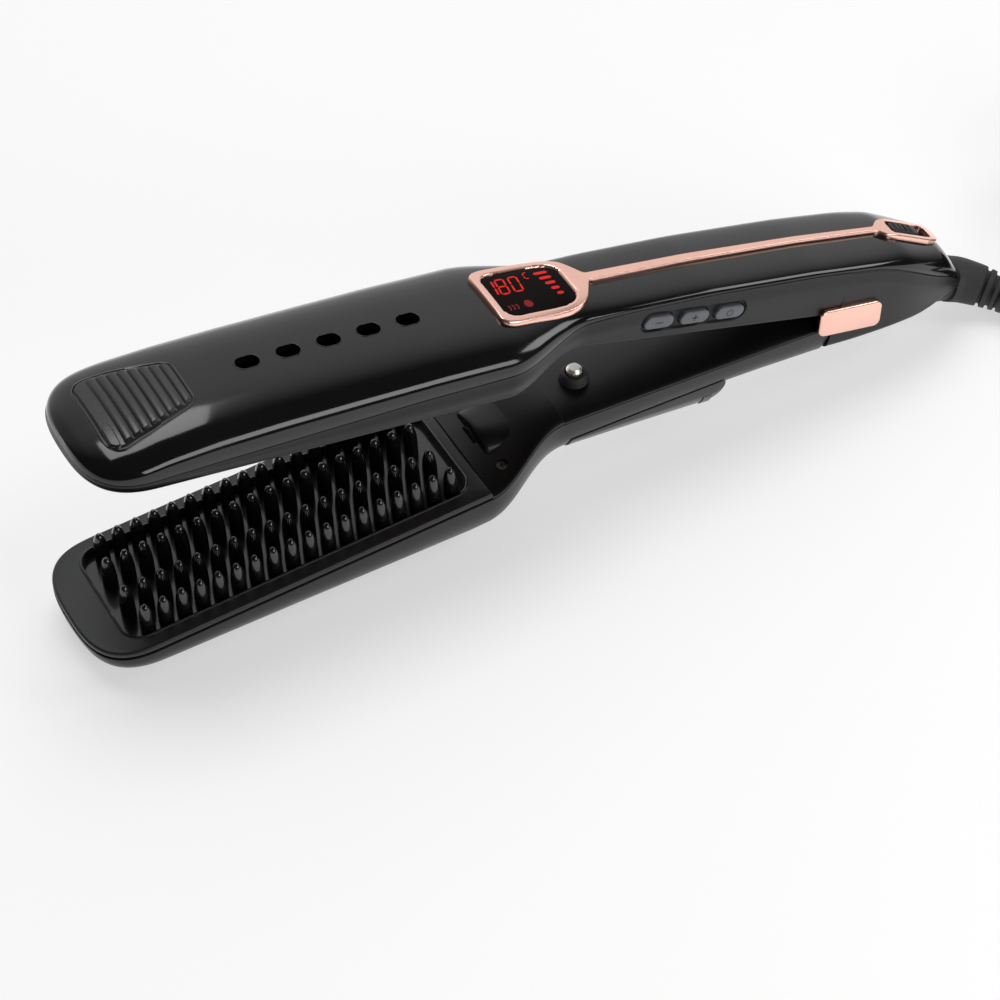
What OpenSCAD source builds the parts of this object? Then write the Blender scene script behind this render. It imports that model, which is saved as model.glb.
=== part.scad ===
// Steam hair straightener brush: two sprung arms on one hinge pin.
// The upper arm carries controls, lenses and cord; the lower arm carries teeth, steam and water.
// Both arms are drawn closed, along X, with the hinge pin over x = 0, and then turned open.
// The brush stands on the flat belly of its lower head, whose centre is the origin.

/* [Lengths along the arms] */
// Head, from the tip to the front seam of the neck
head_len = 137; // [130:1:150]
// Neck, where the arms narrow to the handle
neck_len = 32; // [28:1:40]
// Handle, from the neck to the hinge pin
handle_len = 108; // [104:1:120]
// Tail of the upper arm behind the hinge pin
tail_len = 54; // [52:1:60]

/* [Widths] */
// Width of both heads
head_w = 50; // [48:1:56]
// Width of both handles
handle_w = 31; // [30:0.5:36]
// Length of the rounded tip
tip_round = 22; // [20:0.5:26]

/* [Walls and clearances] */
// Wall of the glossy shell and the lower shell
shell_t = 2.4; // [2:0.1:2.8]
// Wall of the satin housing
housing_t = 2.2; // [2:0.1:2.6]
// Gap round pieces that move
move_gap = 0.3; // [0.2:0.05:0.5]
// Gap round pieces that are fixed
fit_gap = 0.1; // [0.05:0.05:0.2]

/* [Hinge] */
// Opening of the arms at rest, degrees
open_angle = 14; // [10:0.5:14]
// Slope of the closed arms over the belly flat, degrees
belly_pitch = 2; // [1:0.5:2.5]
// Height of the hinge pin over the belly
pin_z = 22; // [21:0.5:24]
// Radius of the hinge pin
pin_r = 3; // [2.5:0.25:3.5]
// Running clearance of the hinge pin
pin_clear = 0.05; // [0.02:0.01:0.08]
// Radius of the hinge knuckles
knuckle_r = 5.2; // [4.8:0.1:5.2]
// Distance of the tail housing's front edge ahead of the pin
seam_ahead = 5; // [4:0.5:6]

/* [Teeth and bristles] */
// Teeth in each row
tooth_count = 18; // [12:1:18]
// Distance from tooth to tooth
tooth_pitch = 6.2; // [5.8:0.1:6.2]
// Height of a tooth
tooth_h = 12.5; // [10:0.5:12.5]
// Radius of a tooth at its foot
tooth_r = 2.5; // [2:0.1:2.6]
// Radius of a tooth at its tip
tooth_tip_r = 1.5; // [1.2:0.1:1.6]
// Distance of the outer tooth rows from the openings' long edges
row_margin = 3.3; // [3:0.1:3.5]
// Distance between the outer and the inner tooth rows
row_gap = 9.9; // [9.6:0.1:10.2]
// Shift of the inner tooth rows towards the tip
row_shift = 2.1; // [0:0.1:2.8]
// Free length of a bristle tuft
tuft_len = 9.5; // [7:0.5:10]
// Distance of the tuft rows from the outer tooth rows
tuft_in = 5; // [4.8:0.1:5.2]

/* [Openings in the heads] */
// Bare head beside both openings
plate_margin = 5.4; // [4.9:0.1:5.8]
// Corner radius of both openings
plate_round = 6; // [4:0.5:8]
// Bare head between the tip and the openings
plate_front = 14; // [13:0.5:15]
// Bare head between the openings and the neck
plate_back = 4.5; // [4:0.5:6]
// Height of the head frame's lip over its seam
lip_h = 2.8; // [2:0.1:3.2]
// Room between the tooth tips and the bristle plate when closed
tip_room = 1.2; // [1:0.1:1.6]

/* [Controls] */
// Length of a button
button_l = 11.2; // [10:0.1:11.4]
// Height of a button
button_h = 4.8; // [4:0.1:5.5]
// Distance from button to button
button_pitch = 14; // [13.6:0.1:15]
// Travel of a button
button_travel = 0.8; // [0.5:0.1:0.9]
// Travel of the lock slider
lock_travel = 4; // [3:0.5:5]
// Vent holes in the upper head
vent_count = 5; // [3:1:5]
// Distance from vent hole to vent hole
vent_pitch = 13.5; // [12:0.5:14]

/* [Pump and tank] */
// Radius of the pump plunger
plunger_r = 2.6; // [2:0.1:3]
// Height of the plunger over its bush
plunger_up = 5; // [4:0.1:5]
// Travel of the plunger
plunger_travel = 2.2; // [2:0.1:3]
// Length of the tank's opening
tank_l = 36; // [30:1:37]
// Half width of the tank's opening
tank_half_w = 9.5; // [8:0.1:10]
// Depth of the tank below the handle at its tab
tank_drop = 5.5; // [4:0.5:6.5]

/* [Cord] */
// Diameter of the cord
cord_d = 6; // [6:0.1:6.4]
// Middle radius of the coil
coil_r = 30; // [29:0.5:32]
// Turns beside each other in the coil
coil_side = 2; // [2:1:2]
// Turns on each other in the coil
coil_high = 5; // [4:1:5]

/* [Hidden] */
tip_x = -(head_len + neck_len + handle_len);
neck_x0 = -(neck_len + handle_len);
neck_x1 = -handle_len;
plate_x0 = tip_x + plate_front;
plate_x1 = neck_x0 - plate_back;
plate_half_w = head_w / 2 - plate_margin;
row_outer_y = plate_half_w - row_margin;
row_inner_y = row_outer_y - row_gap;
tuft_y = row_outer_y - tuft_in;
// The belly is flat from belly_x0 to belly_x1, and its middle becomes the origin.
belly_x0 = tip_x + 21;
belly_x1 = neck_x0 - 6;
belly_mid = (belly_x0 + belly_x1) / 2;
belly_z = -0.9;
belly_cut = 0.25;
hinge_x = -belly_mid * cos(belly_pitch) - (pin_z - belly_z) * sin(belly_pitch);
hinge_z = (pin_z - belly_z) * cos(belly_pitch) - belly_mid * sin(belly_pitch);
function flat_z(x) = belly_z - tan(belly_pitch) * (x - belly_mid);

function mix(a, b, t) = a + (b - a) * t;
function clamp(t) = min(1, max(0, t));
function smooth(t) = t * t * (3 - 2 * t);
function neck(x) = smooth(clamp((x - neck_x0) / (neck_x1 - neck_x0)));
function steps(a, b, n) = [for (i = [0 : n]) a + (b - a) * i / n];

// Plan half width of both arms: round tip, wide head, narrow handle, narrower tail.
function tip_t(x, x_tip) = clamp(1 - (x - x_tip) / tip_round);
function tip_f(x, x_tip) = pow(1 - pow(min(tip_t(x, x_tip), 0.996), 3), 1 / 3);
function tail_f(x) = 1 - 0.42 * pow(clamp((x - 18) / (tail_len - 18)), 2);
function half_w(x, x_tip = tip_x) = mix(head_w, handle_w, neck(x)) / 2 * tip_f(x, x_tip) * tail_f(x);
function shell_w(x) = 0.97 * half_w(x);
lower_tip = tip_x + 2;
function lower_w(x) = half_w(x, lower_tip) - 0.5 * neck(x);

// Lines of the side view, each a few chosen points.
ridge_pts = [
  [tip_x, 25], [tip_x + 3, 28.3], [tip_x + 10, 32], [tip_x + 22, 35.6], [tip_x + 37, 38.4],
  [tip_x + 58, 40.8], [tip_x + 84, 43], [neck_x0 - 26, 45], [neck_x0, 46.3], [neck_x1, 46.8],
  [-64, 46.9], [-20, 45.3], [5, 43.5], [16, 42.7], [20, 42.4], [42, 35.2], [48, 28.9], [tail_len, 23.6]
];
gloss_pts = [
  [tip_x, 22.6], [tip_x + 12, 23.8], [tip_x + 39, 26.9], [neck_x0 - 29, 34], [neck_x0 - 9, 35.4],
  [neck_x0 + 5, 36.6], [neck_x0 + 22, 40], [neck_x0 + 30, 42.3], [neck_x1 + 12, 43.4],
  [-60, 43.8], [-38, 43], [-17, 42.2], [8, 40], [16, 38], [25, 34.8], [33, 31.2],
  [42, 27.6], [48, 25], [tail_len, 20]
];
tail_pts = [
  [-seam_ahead, 8.8], [5, 9.5], [15, 10.8], [24, 12.2], [36, 13.4], [42, 15.5], [48, 17.2], [tail_len, 18]
];
belly_pts = [
  [tip_x + 2, 12.5], [tip_x + 4.5, 7.5], [tip_x + 9, 4.4], [tip_x + 15, 2.2],
  [belly_x0, flat_z(belly_x0) - belly_cut], [belly_x1, flat_z(belly_x1) - belly_cut],
  [neck_x0 + 4, -2.4], [neck_x0 + 10, -0.2], [neck_x0 + 17, 4.2],
  [neck_x0 + 25, 8], [neck_x1 + 3, 9.5], [-80, 9.2], [-47, 8.4], [-31, 6.8], [0, 3]
];
function ridge(x) = lookup(x, ridge_pts);
function gloss(x) = lookup(x, gloss_pts);
function belly(x) = lookup(x, belly_pts);
// Seam of the lower arm and lower edge of the upper arm.
function seam(x) = mix(16.6 + 0.035 * (x + 200), 23.4 - 0.07 * (x + 60), neck(x));
function edge(x) = mix(24.3 + 0.05 * (x + 200), 28.6 - 0.0895 * (x + 60), neck(x));
function lip(x) = seam(x) + lip_h;
// Underside of the bristle plate, over the tooth tips.
function roof(x) = 16.6 + 0.035 * (x + 200) + tooth_h + tip_room;
head_slope = atan(0.035);

// Height of the glossy surface at a point of the plan.
function bulge(y, w) = pow(max(0, 1 - pow(min(1, abs(y) / w), 2.67)), 1 / 2.67);
function skin(x, y) = gloss(x) + (ridge(x) - gloss(x)) * bulge(y, shell_w(x));

module lower_pose() {
  translate([hinge_x, 0, hinge_z]) rotate([0, -belly_pitch, 0]) translate([0, 0, -pin_z]) children();
}
module upper_pose() {
  translate([hinge_x, 0, hinge_z]) rotate([0, open_angle - belly_pitch, 0])
    translate([0, 0, -pin_z]) children();
}

// A solid between rings of equal length, given tip first, with the ring order outer then inner.
module loft(rings) {
  n = len(rings[0]);
  m = len(rings);
  h = n / 2;
  side = [for (i = [0 : m - 2], j = [0 : n - 1]) let (k = (j + 1) % n, a = i * n, b = a + n)
    each [[a + j, b + k, b + j], [a + j, a + k, b + k]]];
  front = [for (j = [0 : h - 2]) let (p = n - 1 - j)
    each [[j, p, j + 1], [j + 1, p, p - 1]]];
  last = (m - 1) * n;
  back = [for (f = front) [last + f[2], last + f[1], last + f[0]]];
  polyhedron(points = [for (r = rings) each r], faces = concat(side, front, back));
}

// Ring of a shell that is open on one side: z0 is the open edge, z1 the crown. Where a shell is
// solid, its inner line lies this much inside the open edge.
thin = 0.05;
arc_n = 14;
function crown(x, w, z0, z1) = [for (i = [0 : arc_n]) let (a = 180 * i / arc_n)
  [x, -w * sign(cos(a)) * pow(abs(cos(a)), 0.75), z0 + (z1 - z0) * pow(abs(sin(a)), 0.75)]];
function flip(ring) = [for (i = [len(ring) - 1 : -1 : 0]) ring[i]];
function shell_ring(x, w, z0, z1, wi, zi) = concat(crown(x, w, z0, z1), flip(crown(x, wi, z0, zi)));

// Ring of a tray that is open at the top: edges at z1, floor at z0, sides slightly bulged.
function tray_side(x, w, z0, z1, c) = [
  [x, w * 0.97, z1], [x, w, mix(z1, z0, 0.4)], [x, w * 0.985, z0 + c], [x, w - c, z0]
];
function tray_half(x, w, z0, z1, c) = let (s = tray_side(x, w, z0, z1, min(c, (z1 - z0) / 2)))
  concat(s, [for (p = flip(s)) [p[0], -p[1], p[2]]]);
function tray_ring(x, w, z0, z1, wi, zi, c) =
  concat(tray_half(x, w, z0, z1, c), flip(tray_half(x, wi, zi, z1, c)));

// A piece that follows the glossy surface: half_y gives its two edges along x.
module patch(xs, edges, up, down, ny = 6) {
  nx = len(xs) - 1;
  top = [for (i = [0 : nx], j = [0 : ny]) let (x = xs[i], y = mix(edges[i][0], edges[i][1], j / ny))
    [x, y, skin(x, y) + up]];
  low = [for (p = top) [p[0], p[1], p[2] - up - down]];
  q = (nx + 1) * (ny + 1);
  r = ny + 1;
  function quad(a, b, c, d) = [[a, b, c], [a, c, d]];
  faces = concat(
    [for (i = [0 : nx - 1], j = [0 : ny - 1]) let (a = i * r + j)
      each quad(a, a + 1, a + r + 1, a + r)],
    [for (i = [0 : nx - 1], j = [0 : ny - 1]) let (a = q + i * r + j)
      each quad(a, a + r, a + r + 1, a + 1)],
    [for (i = [0 : nx - 1]) let (a = i * r) each quad(a, a + r, q + a + r, q + a)],
    [for (i = [0 : nx - 1]) let (a = i * r + ny) each quad(a, q + a, q + a + r, a + r)],
    [for (j = [0 : ny - 1]) each quad(j, q + j, q + j + 1, j + 1)],
    [for (j = [0 : ny - 1]) let (a = nx * r + j) each quad(a, a + 1, q + a + 1, q + a)]
  );
  polyhedron(points = concat(top, low), faces = faces);
}

// Rounded rectangle and pill outlines, made of true arcs.
module round_rect(l, w, r) {
  square([l - 2 * r, w], center = true);
  square([l, w - 2 * r], center = true);
  for (sx = [-1, 1], sy = [-1, 1]) translate([sx * (l / 2 - r), sy * (w / 2 - r)]) circle(r, $fn = 48);
}
// Rounded rectangle whose short sides lean by k, for a panel that stands upright on a sloped arm.
module leaning_rect(l, w, r, k) {
  polygon([for (q = [0 : 3], i = [0 : 6]) let (a = 90 * q + 15 * i,
    x = (q == 0 || q == 3 ? 1 : -1) * (l / 2 - r) + r * cos(a), y = (q < 2 ? 1 : -1) * (w / 2 - r) + r * sin(a))
    [x - k * y, y]]);
}
module pill(l, w) {
  square([l - w, w], center = true);
  for (s = [-1, 1]) translate([s * (l - w) / 2, 0]) circle(w / 2, $fn = 48);
}
// Turns a piece to the slope of the heads, about its own height at mid plate.
plate_mid = (plate_x0 + plate_x1) / 2;
plate_l = plate_x1 - plate_x0;
module on_slope(z) {
  translate([plate_mid, 0, z]) rotate([0, -head_slope, 0]) children();
}

// ---- Upper arm ----

tray_xs = concat(steps(tip_x, tip_x + 10, 5), steps(tip_x + 15, neck_x0, 11),
  steps(neck_x0 + 5, neck_x1, 6), steps(neck_x1 + 14, -seam_ahead + 0.5, 6));
tail_xs = concat([-seam_ahead, 5, 10, 15, 20], steps(26, tail_len, 6));
shell_xs = concat(tray_xs, [for (i = [1 : len(tail_xs) - 1]) tail_xs[i]]);
function end_wall(x, x0, x1) = x < x0 + shell_t || x > x1 - shell_t;

module vents() {
  for (i = [0 : vent_count - 1]) let (x = neck_x0 - 25.7 - i * vent_pitch)
    translate([x, 0, ridge(x) - 2 * shell_t]) linear_extrude(4 * shell_t) pill(7.6, 5);
}

// Outline of the trim, as half widths along x: display bezel, strip, and loop round the lock.
bezel_xs = [for (d = [1, 1.6, 3.2, 6, 13, 21, 26, 30, 33.5, 38]) neck_x0 + d];
bezel_y = [9.5, 11.2, 12.4, 13, 13, 13, 12.2, 10.2, 6.5, 2];
window_xs = [for (d = [4, 4.6, 6.4, 9, 15, 21, 25, 28.6, 31]) neck_x0 + d];
window_y = [7, 8.6, 9.7, 10, 10, 10, 9.4, 7.4, 4];
loop_xs = [14, 17, 21, 36, 40, 43];
loop_y = [2, 4.2, 5, 5, 4.2, 1.6];
loop_hole_x = [20, 38];
loop_hole_y = 3;
trim_up = 1.6;
trim_down = 1.6;
function both(ys, g = 0) = [for (y = ys) [-y - g, y + g]];
function widen(xs, g) = [for (i = [0 : len(xs) - 1]) xs[i] + (i == 0 ? -g : i == len(xs) - 1 ? g : 0)];
strip_xs = concat([bezel_xs[9] - 1], steps(neck_x1 + 12, 5, 6), [10, loop_xs[0] + 1]);
function strip_w(x) = mix(2, 1.3, clamp((x - strip_xs[0]) / (loop_xs[0] - strip_xs[0])));

module trim_body(g, up, down) {
  patch(widen(bezel_xs, g), both(bezel_y, g), up, down);
  patch(widen(strip_xs, g), both([for (x = strip_xs) strip_w(x)], g), up, down, 2);
  patch(widen(loop_xs, g), both(loop_y, g), up, down, 4);
}

grip_xs = [tip_x + 7, tip_x + 9, tip_x + 12, tip_x + 20, tip_x + 34, tip_x + 37];
grip_y = [12, 15.2, 16.2, 14.6, 10.8, 9];
grip_down = 1;

lock_y = loop_hole_y - move_gap;
lock_xs = [loop_hole_x[0] + 0.6, loop_hole_x[0] + 13];
lock_slope = atan((ridge(20) - ridge(42)) / 22);
lock_slot_l = 14;
lock_slot_w = 2.6;
display_x = neck_x0 + 5;
display_l = 24;
display_w = 17;
display_h = 4;

module upper_shell() {
  color([0.02, 0.02, 0.022]) upper_pose() difference() {
    loft([for (x = shell_xs) let (w = shell_w(x), z0 = gloss(x), z1 = ridge(x), e = end_wall(x, tip_x, tail_len))
      shell_ring(x, w, z0, z1, e ? 0.8 * w : w - shell_t, e ? z0 + thin : max(z0 + 0.3, z1 - shell_t))]);
    vents();
    trim_body(fit_gap, 4, trim_down + 0.05);
    patch(widen(grip_xs, fit_gap), both(grip_y, fit_gap), 4, grip_down + 0.05);
    translate([display_x + 3, 1 - display_w / 2, ridge(neck_x0) - 6]) cube([display_l - 6, display_w - 2, 8]);
    translate([loop_hole_x[0] + 2, -lock_slot_w / 2, 20]) cube([lock_slot_l, lock_slot_w, 30]);
    relief_bore();
  }
}

button_x = -67;
button_z = 36.6;
button_slope = 0.07;
side_y = handle_w / 2;
function button_at(i) = [button_x + (i - 1) * button_pitch, button_z - (i - 1) * button_pitch * button_slope];

module at_button(i, y) {
  translate([button_at(i)[0], y, button_at(i)[1]]) rotate([0, atan(button_slope), 0]) rotate([90, 0, 0])
    children();
}
module button_pocket() {
  at_button(1, -side_y + 0.9) linear_extrude(3) pill(2 * button_pitch + button_l + 2.6, button_h + 3.4);
  for (i = [0 : 2]) at_button(i, -side_y + 4)
    linear_extrude(5) pill(button_l + 2 * move_gap, button_h + 2 * move_gap);
}

floor_end = -seam_ahead - 6;
panel_l = 25.5;
panel_h = 11;
panel_t = 1.5;
relief_z = 14.8;
relief_r = 8;
relief_root = 7.5;
relief_in = 10;

module relief_bore() {
  translate([tail_len - relief_in, 0, relief_z]) rotate([0, 90, 0])
    cylinder(h = 2 * relief_in, r = relief_root + fit_gap, $fn = 48);
}
module head_opening(grow, z0, z1) {
  translate([(roof_x0 + plate_x1) / 2, 0, z0]) linear_extrude(z1 - z0)
    round_rect(plate_x1 - roof_x0 + 2 * grow, 2 * (plate_half_w + grow), plate_round + 2 + grow);
}
// The opening starts just ahead of the first tooth of the inner rows.
roof_x0 = plate_mid + tooth_x(0) - row_shift - tooth_r - move_gap;
// Frame that lies on the housing's floor in the handle, with its slope.
module on_floor(x) {
  translate([x, 0, edge(x) + housing_t]) rotate([0, atan(0.0895), 0]) children();
}
board_x = -64;
board_l = 70;
board_up = 1.6;
board_w = 18;
board_t = 1.6;

module upper_housing() {
  color([0.05, 0.05, 0.055]) upper_pose() difference() {
    union() {
      loft([for (x = tray_xs)
        let (w = half_w(x), z0 = edge(x), z1 = gloss(x), e = x < tip_x + shell_t)
        tray_ring(x, w, z0, z1, e ? 0.8 * w : w - housing_t, e ? z1 - thin : min(z0 + housing_t, z1 - 0.3), 1.2)]);
      loft([for (x = tail_xs)
        let (w = half_w(x), z0 = lookup(x, tail_pts), z1 = gloss(x), e = x > tail_len - shell_t)
        tray_ring(x, w, z0, z1, e ? 0.8 * w : w - housing_t, e ? z1 - thin : z0 + housing_t, 2.4)]);
      for (s = [-1, 1]) on_floor(board_x) translate([s * (board_l / 2 - 6), 0, -1])
        cylinder(h = board_up + 1, r = 2.2, $fn = 32);
    }
    head_opening(0, 10, 40);
    translate([floor_end, -side_y + housing_t + 0.2, 0]) cube([6.8, handle_w - 2 * housing_t - 0.4, 30]);
    button_pocket();
    rotate([90, 0, 0]) translate([0, pin_z, -30]) cylinder(h = 60, r = pin_r + 0.02, $fn = 48);
    relief_bore();
  }
}

module tip_grip() {
  color([0.04, 0.04, 0.04]) upper_pose() {
    patch(grip_xs, both(grip_y), 0.4, grip_down);
    for (i = [0 : 8]) let (x = tip_x + 11 + i * 2.9, y = lookup(x, [for (k = [0 : 5]) [grip_xs[k], grip_y[k]]]) - 1)
      patch([x, x + 1.4], [[-y, y], [-y, y]], 1.1, 0.4);
  }
}

module trim_inlay() {
  color([0.86, 0.58, 0.48]) upper_pose() difference() {
    trim_body(0, trim_up, trim_down);
    patch(widen(window_xs, fit_gap), both(window_y, fit_gap), 4, 4);
    translate([loop_hole_x[0], -loop_hole_y, 20]) cube([loop_hole_x[1] - loop_hole_x[0], 2 * loop_hole_y, 40]);
  }
}

module display_window() {
  color([0.01, 0.01, 0.012]) upper_pose() patch(window_xs, both(window_y), 0.9, trim_down - 0.2);
}

module display_module() {
  color([0.1, 0.1, 0.1]) upper_pose()
    translate([display_x, -display_w / 2, ridge(neck_x0) - shell_t - display_h - 0.6])
      cube([display_l, display_w, display_h]);
}

module control_board() {
  color([0.05, 0.25, 0.12]) upper_pose() on_floor(board_x)
    translate([-board_l / 2, -board_w / 2, board_up]) cube([board_l, board_w, board_t]);
}

button_in = 3.6;
module button(i) {
  color([0.33, 0.34, 0.37]) upper_pose() {
    at_button(i, -side_y + button_in) linear_extrude(button_in + 0.5) pill(button_l, button_h);
    at_button(i, -side_y + button_in) linear_extrude(1) pill(button_l + 1.8, button_h + 1.8);
  }
}
module button_minus() { button(0); }
module button_plus() { button(1); }
module button_power() { button(2); }

// Small upright board behind the buttons, with one switch each.
module switch_board() {
  y = -side_y + button_in + button_travel + 0.3;
  color([0.05, 0.25, 0.12]) upper_pose() {
    on_floor(button_x) translate([-button_pitch - 6, y + 1, board_up + board_t])
      cube([2 * button_pitch + 12, 1.2, 7]);
    for (i = [0 : 2]) at_button(i, y + 1) translate([-1.5, -1.5, 0]) cube([3, 3, 1]);
  }
}

module lock_slider() {
  color([0.06, 0.06, 0.065]) upper_pose() {
    patch(steps(lock_xs[0], lock_xs[1], 3), both([lock_y, lock_y, lock_y, lock_y]), 1.8, trim_down - 0.4, 4);
    for (i = [0 : 3]) let (x = lock_xs[0] + 2.2 + i * 2.3)
      patch([x, x + 1], both([lock_y - 0.5, lock_y - 0.5]), 2.5, 0, 4);
    translate([lock_xs[0] + 2, 0, ridge(lock_xs[0] + 2) - trim_down]) rotate([0, lock_slope, 0])
      translate([0.4, -1, -3]) cube([7, 2, 3.9]);
  }
}

// Frame on the underside of the bristle plate, with x = 0 at the tooth rows' middle.
module on_roof() {
  translate([plate_mid, 0, roof(plate_mid)]) rotate([0, -head_slope, 0]) children();
}
roof_t = 1.2;
lens_l = 31;
lens_w = 3.3;
lens_gap = 8;
lens_up = 0.8;
lens_mid = 2;
function tooth_x(i) = (i - (tooth_count - 1) / 2) * tooth_pitch + 0.9;

module lens_shape(i, g) {
  translate([(i - 1) * (lens_l + lens_gap) + lens_mid, 0, -0.3]) linear_extrude(roof_t + lens_up + 0.3)
    pill(lens_l + 2 * g, lens_w + 2 * g);
}

module bristle_plate() {
  color([0.03, 0.03, 0.032]) upper_pose() {
    difference() {
      intersection() {
        on_roof() translate([-plate_mid, 0, -12]) linear_extrude(12 + roof_t)
          translate([(roof_x0 + plate_x1) / 2, 0])
            round_rect(plate_x1 - roof_x0 + 3.6, 2 * plate_half_w + 2.4, plate_round + 3.4);
        translate([plate_mid, 0, edge(plate_mid) + housing_t + 0.05]) rotate([0, -atan(0.05), 0])
          translate([-100, -50, 0]) cube([200, 100, 40]);
      }
      on_roof() translate([-plate_mid, 0, -14]) linear_extrude(14)
        translate([(roof_x0 + plate_x1) / 2, 0])
          round_rect(plate_x1 - roof_x0 + 0.4, 2 * plate_half_w - 0.8, plate_round + 1.8);
      on_roof() for (i = [0 : 2]) lens_shape(i, fit_gap / 2);
      on_roof() for (m = [0, 1]) mirror([0, m, 0]) translate([-100, plate_half_w - 1.3, roof_t])
        rotate([-45, 0, 0]) cube([200, 10, 10]);
    }
    on_roof() for (i = [1 : tooth_count - 2], s = [-1, 1])
      translate([tooth_x(i) + tooth_pitch / 2, s * (row_outer_y + 1.5), -2]) cylinder(h = 2.2, r = 1.6, $fn = 24);
  }
}

module bristle_tufts() {
  color([0.75, 0.35, 0.12]) upper_pose() on_roof()
    for (i = [1 : tooth_count - 2], s = [-1, 1]) translate([tooth_x(i) + 1.5, s * tuft_y, -tuft_len])
      cylinder(h = tuft_len, r1 = 2.1, r2 = 1.25, $fn = 20);
}

module ir_lens(i) {
  color([0.6, 0.05, 0.03]) upper_pose() on_roof() lens_shape(i, 0);
}
module ir_lens_1() { ir_lens(0); }
module ir_lens_2() { ir_lens(1); }
module ir_lens_3() { ir_lens(2); }

ir_board_l = 3 * lens_l + 2 * lens_gap + 3;
ir_board_w = 3 * lens_w;
module ir_board() {
  color([0.05, 0.25, 0.12]) upper_pose() on_roof()
    translate([lens_mid - ir_board_l / 2, -ir_board_w / 2, roof_t + lens_up]) cube([ir_board_l, ir_board_w, 1.2]);
}

module hinge_panel(s) {
  color([0.86, 0.58, 0.48]) upper_pose()
    translate([0, s * (side_y + 0.05 + (s > 0 ? panel_t : 0)), pin_z]) rotate([90, 0, 0])
      linear_extrude(panel_t) leaning_rect(panel_l, panel_h, 2.6, tan(lift));
}
module hinge_panel_near() { mirror([0, 1, 0]) hinge_panel(1); }
module hinge_panel_far() { hinge_panel(1); }

module hinge_pin() {
  color([0.6, 0.6, 0.62]) upper_pose() translate([0, side_y, pin_z]) rotate([90, 0, 0])
    cylinder(h = handle_w, r = pin_r, $fn = 48);
}

spring_r = pin_r + 1.6;
spring_wire = 0.7;
module hinge_spring() {
  color([0.5, 0.5, 0.52]) upper_pose() {
    for (i = [-2 : 2]) translate([0, i * 1.7, pin_z]) rotate([90, 0, 0])
      rotate_extrude($fn = 48) translate([spring_r, 0]) circle(spring_wire, $fn = 16);
    translate([0, 0, pin_z + spring_r]) cube([1.2, 8.2, 1.2], center = true);
    translate([0, 0, pin_z + spring_r]) cylinder(h = ridge(0) - shell_t - pin_z - spring_r - 0.1, r = 0.9, $fn = 20);
  }
}

clamp_x = 26;
clamp_slope = atan((lookup(clamp_x + 8, tail_pts) - lookup(clamp_x, tail_pts)) / 8);
module cord_clamp() {
  color([0.08, 0.08, 0.08]) upper_pose()
    translate([clamp_x, -5, lookup(clamp_x, tail_pts) + housing_t + 0.1]) rotate([0, -clamp_slope, 0])
      cube([8, 10, 3]);
}

// ---- Cord, in the standing frame ----

lift = open_angle - belly_pitch;
exit_x = hinge_x + tail_len * cos(lift) + (relief_z - pin_z) * sin(lift);
exit_z = hinge_z - tail_len * sin(lift) + (relief_z - pin_z) * cos(lift);
relief_path = [[exit_x, 0, exit_z], [257, -2, 10.3], [262.5, -6.5, 9], [267.5, -12.5, 7.8],
  [271.5, -19.5, 6.7], [274.5, -27, 5.7]];
relief_radius = [relief_r, 7.9, 7.1, 6.2, 5.3, 4.4];
tie_t = 0.8;
coil_mid = [336, -10];
coil_w = coil_side * cord_d;
coil_h = coil_high * cord_d;
outer_turn = coil_r + (coil_w - cord_d) / 2;
// The lead bends on the table until it runs along X into the coil's lowest outer turn.
lead_r = 25;
lead_mid = [297.8, coil_mid[1] - outer_turn + lead_r];
function lead_pt(a, z) = [lead_mid[0] + lead_r * sin(a), lead_mid[1] - lead_r * cos(a), z];
lead_z = cord_d / 2 + 0.05;
cord_path = concat([[274.5, -27, 5.7], lead_pt(-57.5, 5), lead_pt(-46, 4.3), lead_pt(-34.5, 3.75),
  lead_pt(-23, 3.35), lead_pt(-11.5, 3.12), lead_pt(0, lead_z)],
  [for (i = [1 : 4]) [mix(lead_mid[0], coil_mid[0], i / 4), coil_mid[1] - outer_turn,
    mix(lead_z, cord_d / 2 + tie_t, smooth(i / 4))]]);
// The end leaves the top outer turn, bends back to X, and comes down to the plug's neck.
plug_l = 34;
plug_w = 26;
plug_h = 14;
pin_space = 19;
end_turn = 40;
end_r = 30;
end_run = 34;
end_from = coil_mid + outer_turn * [sin(end_turn), -cos(end_turn)];
end_mid = end_from + end_r * [sin(end_turn), -cos(end_turn)];
neck_l = 24;
plug_root = [end_mid[0] + end_run, end_mid[1] + end_r, 12.6];
end_xy = concat([for (a = [end_turn : -end_turn / 4 : 0]) end_mid + end_r * [-sin(a), cos(a)]],
  [for (i = [1 : 4]) [end_mid[0] + i * end_run / 4, plug_root[1]]]);
end_s = concat([for (i = [0 : 4]) end_r * end_turn * PI / 180 * i / 4],
  [for (i = [1 : 4]) end_r * end_turn * PI / 180 + i * end_run / 4]);
neck_fall = (plug_h / 2 - plug_root[2]) / neck_l;
function end_z(t) = mix(coil_h - cord_d / 2 + tie_t, plug_root[2], smooth(t))
  + (t * t * t - t * t) * neck_fall * end_s[8];
end_path = [for (i = [0 : 8]) [end_xy[i][0], end_xy[i][1], end_z(end_s[i] / end_s[8])]];

function unit(v) = v / norm(v);
join_dir = unit(cord_path[1] - relief_path[4]);
// Rings of a round tube along a path, each turned to the path's direction there.
function ring_at(p, d, r, n) = let (u = unit(cross([0, 0, 1], d)), v = unit(cross(d, u)))
  [for (j = [0 : n - 1]) p + r * (cos(360 * j / n) * u + sin(360 * j / n) * v)];
function heading(path, i) = unit(path[min(i + 1, len(path) - 1)] - path[max(i - 1, 0)]);
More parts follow.
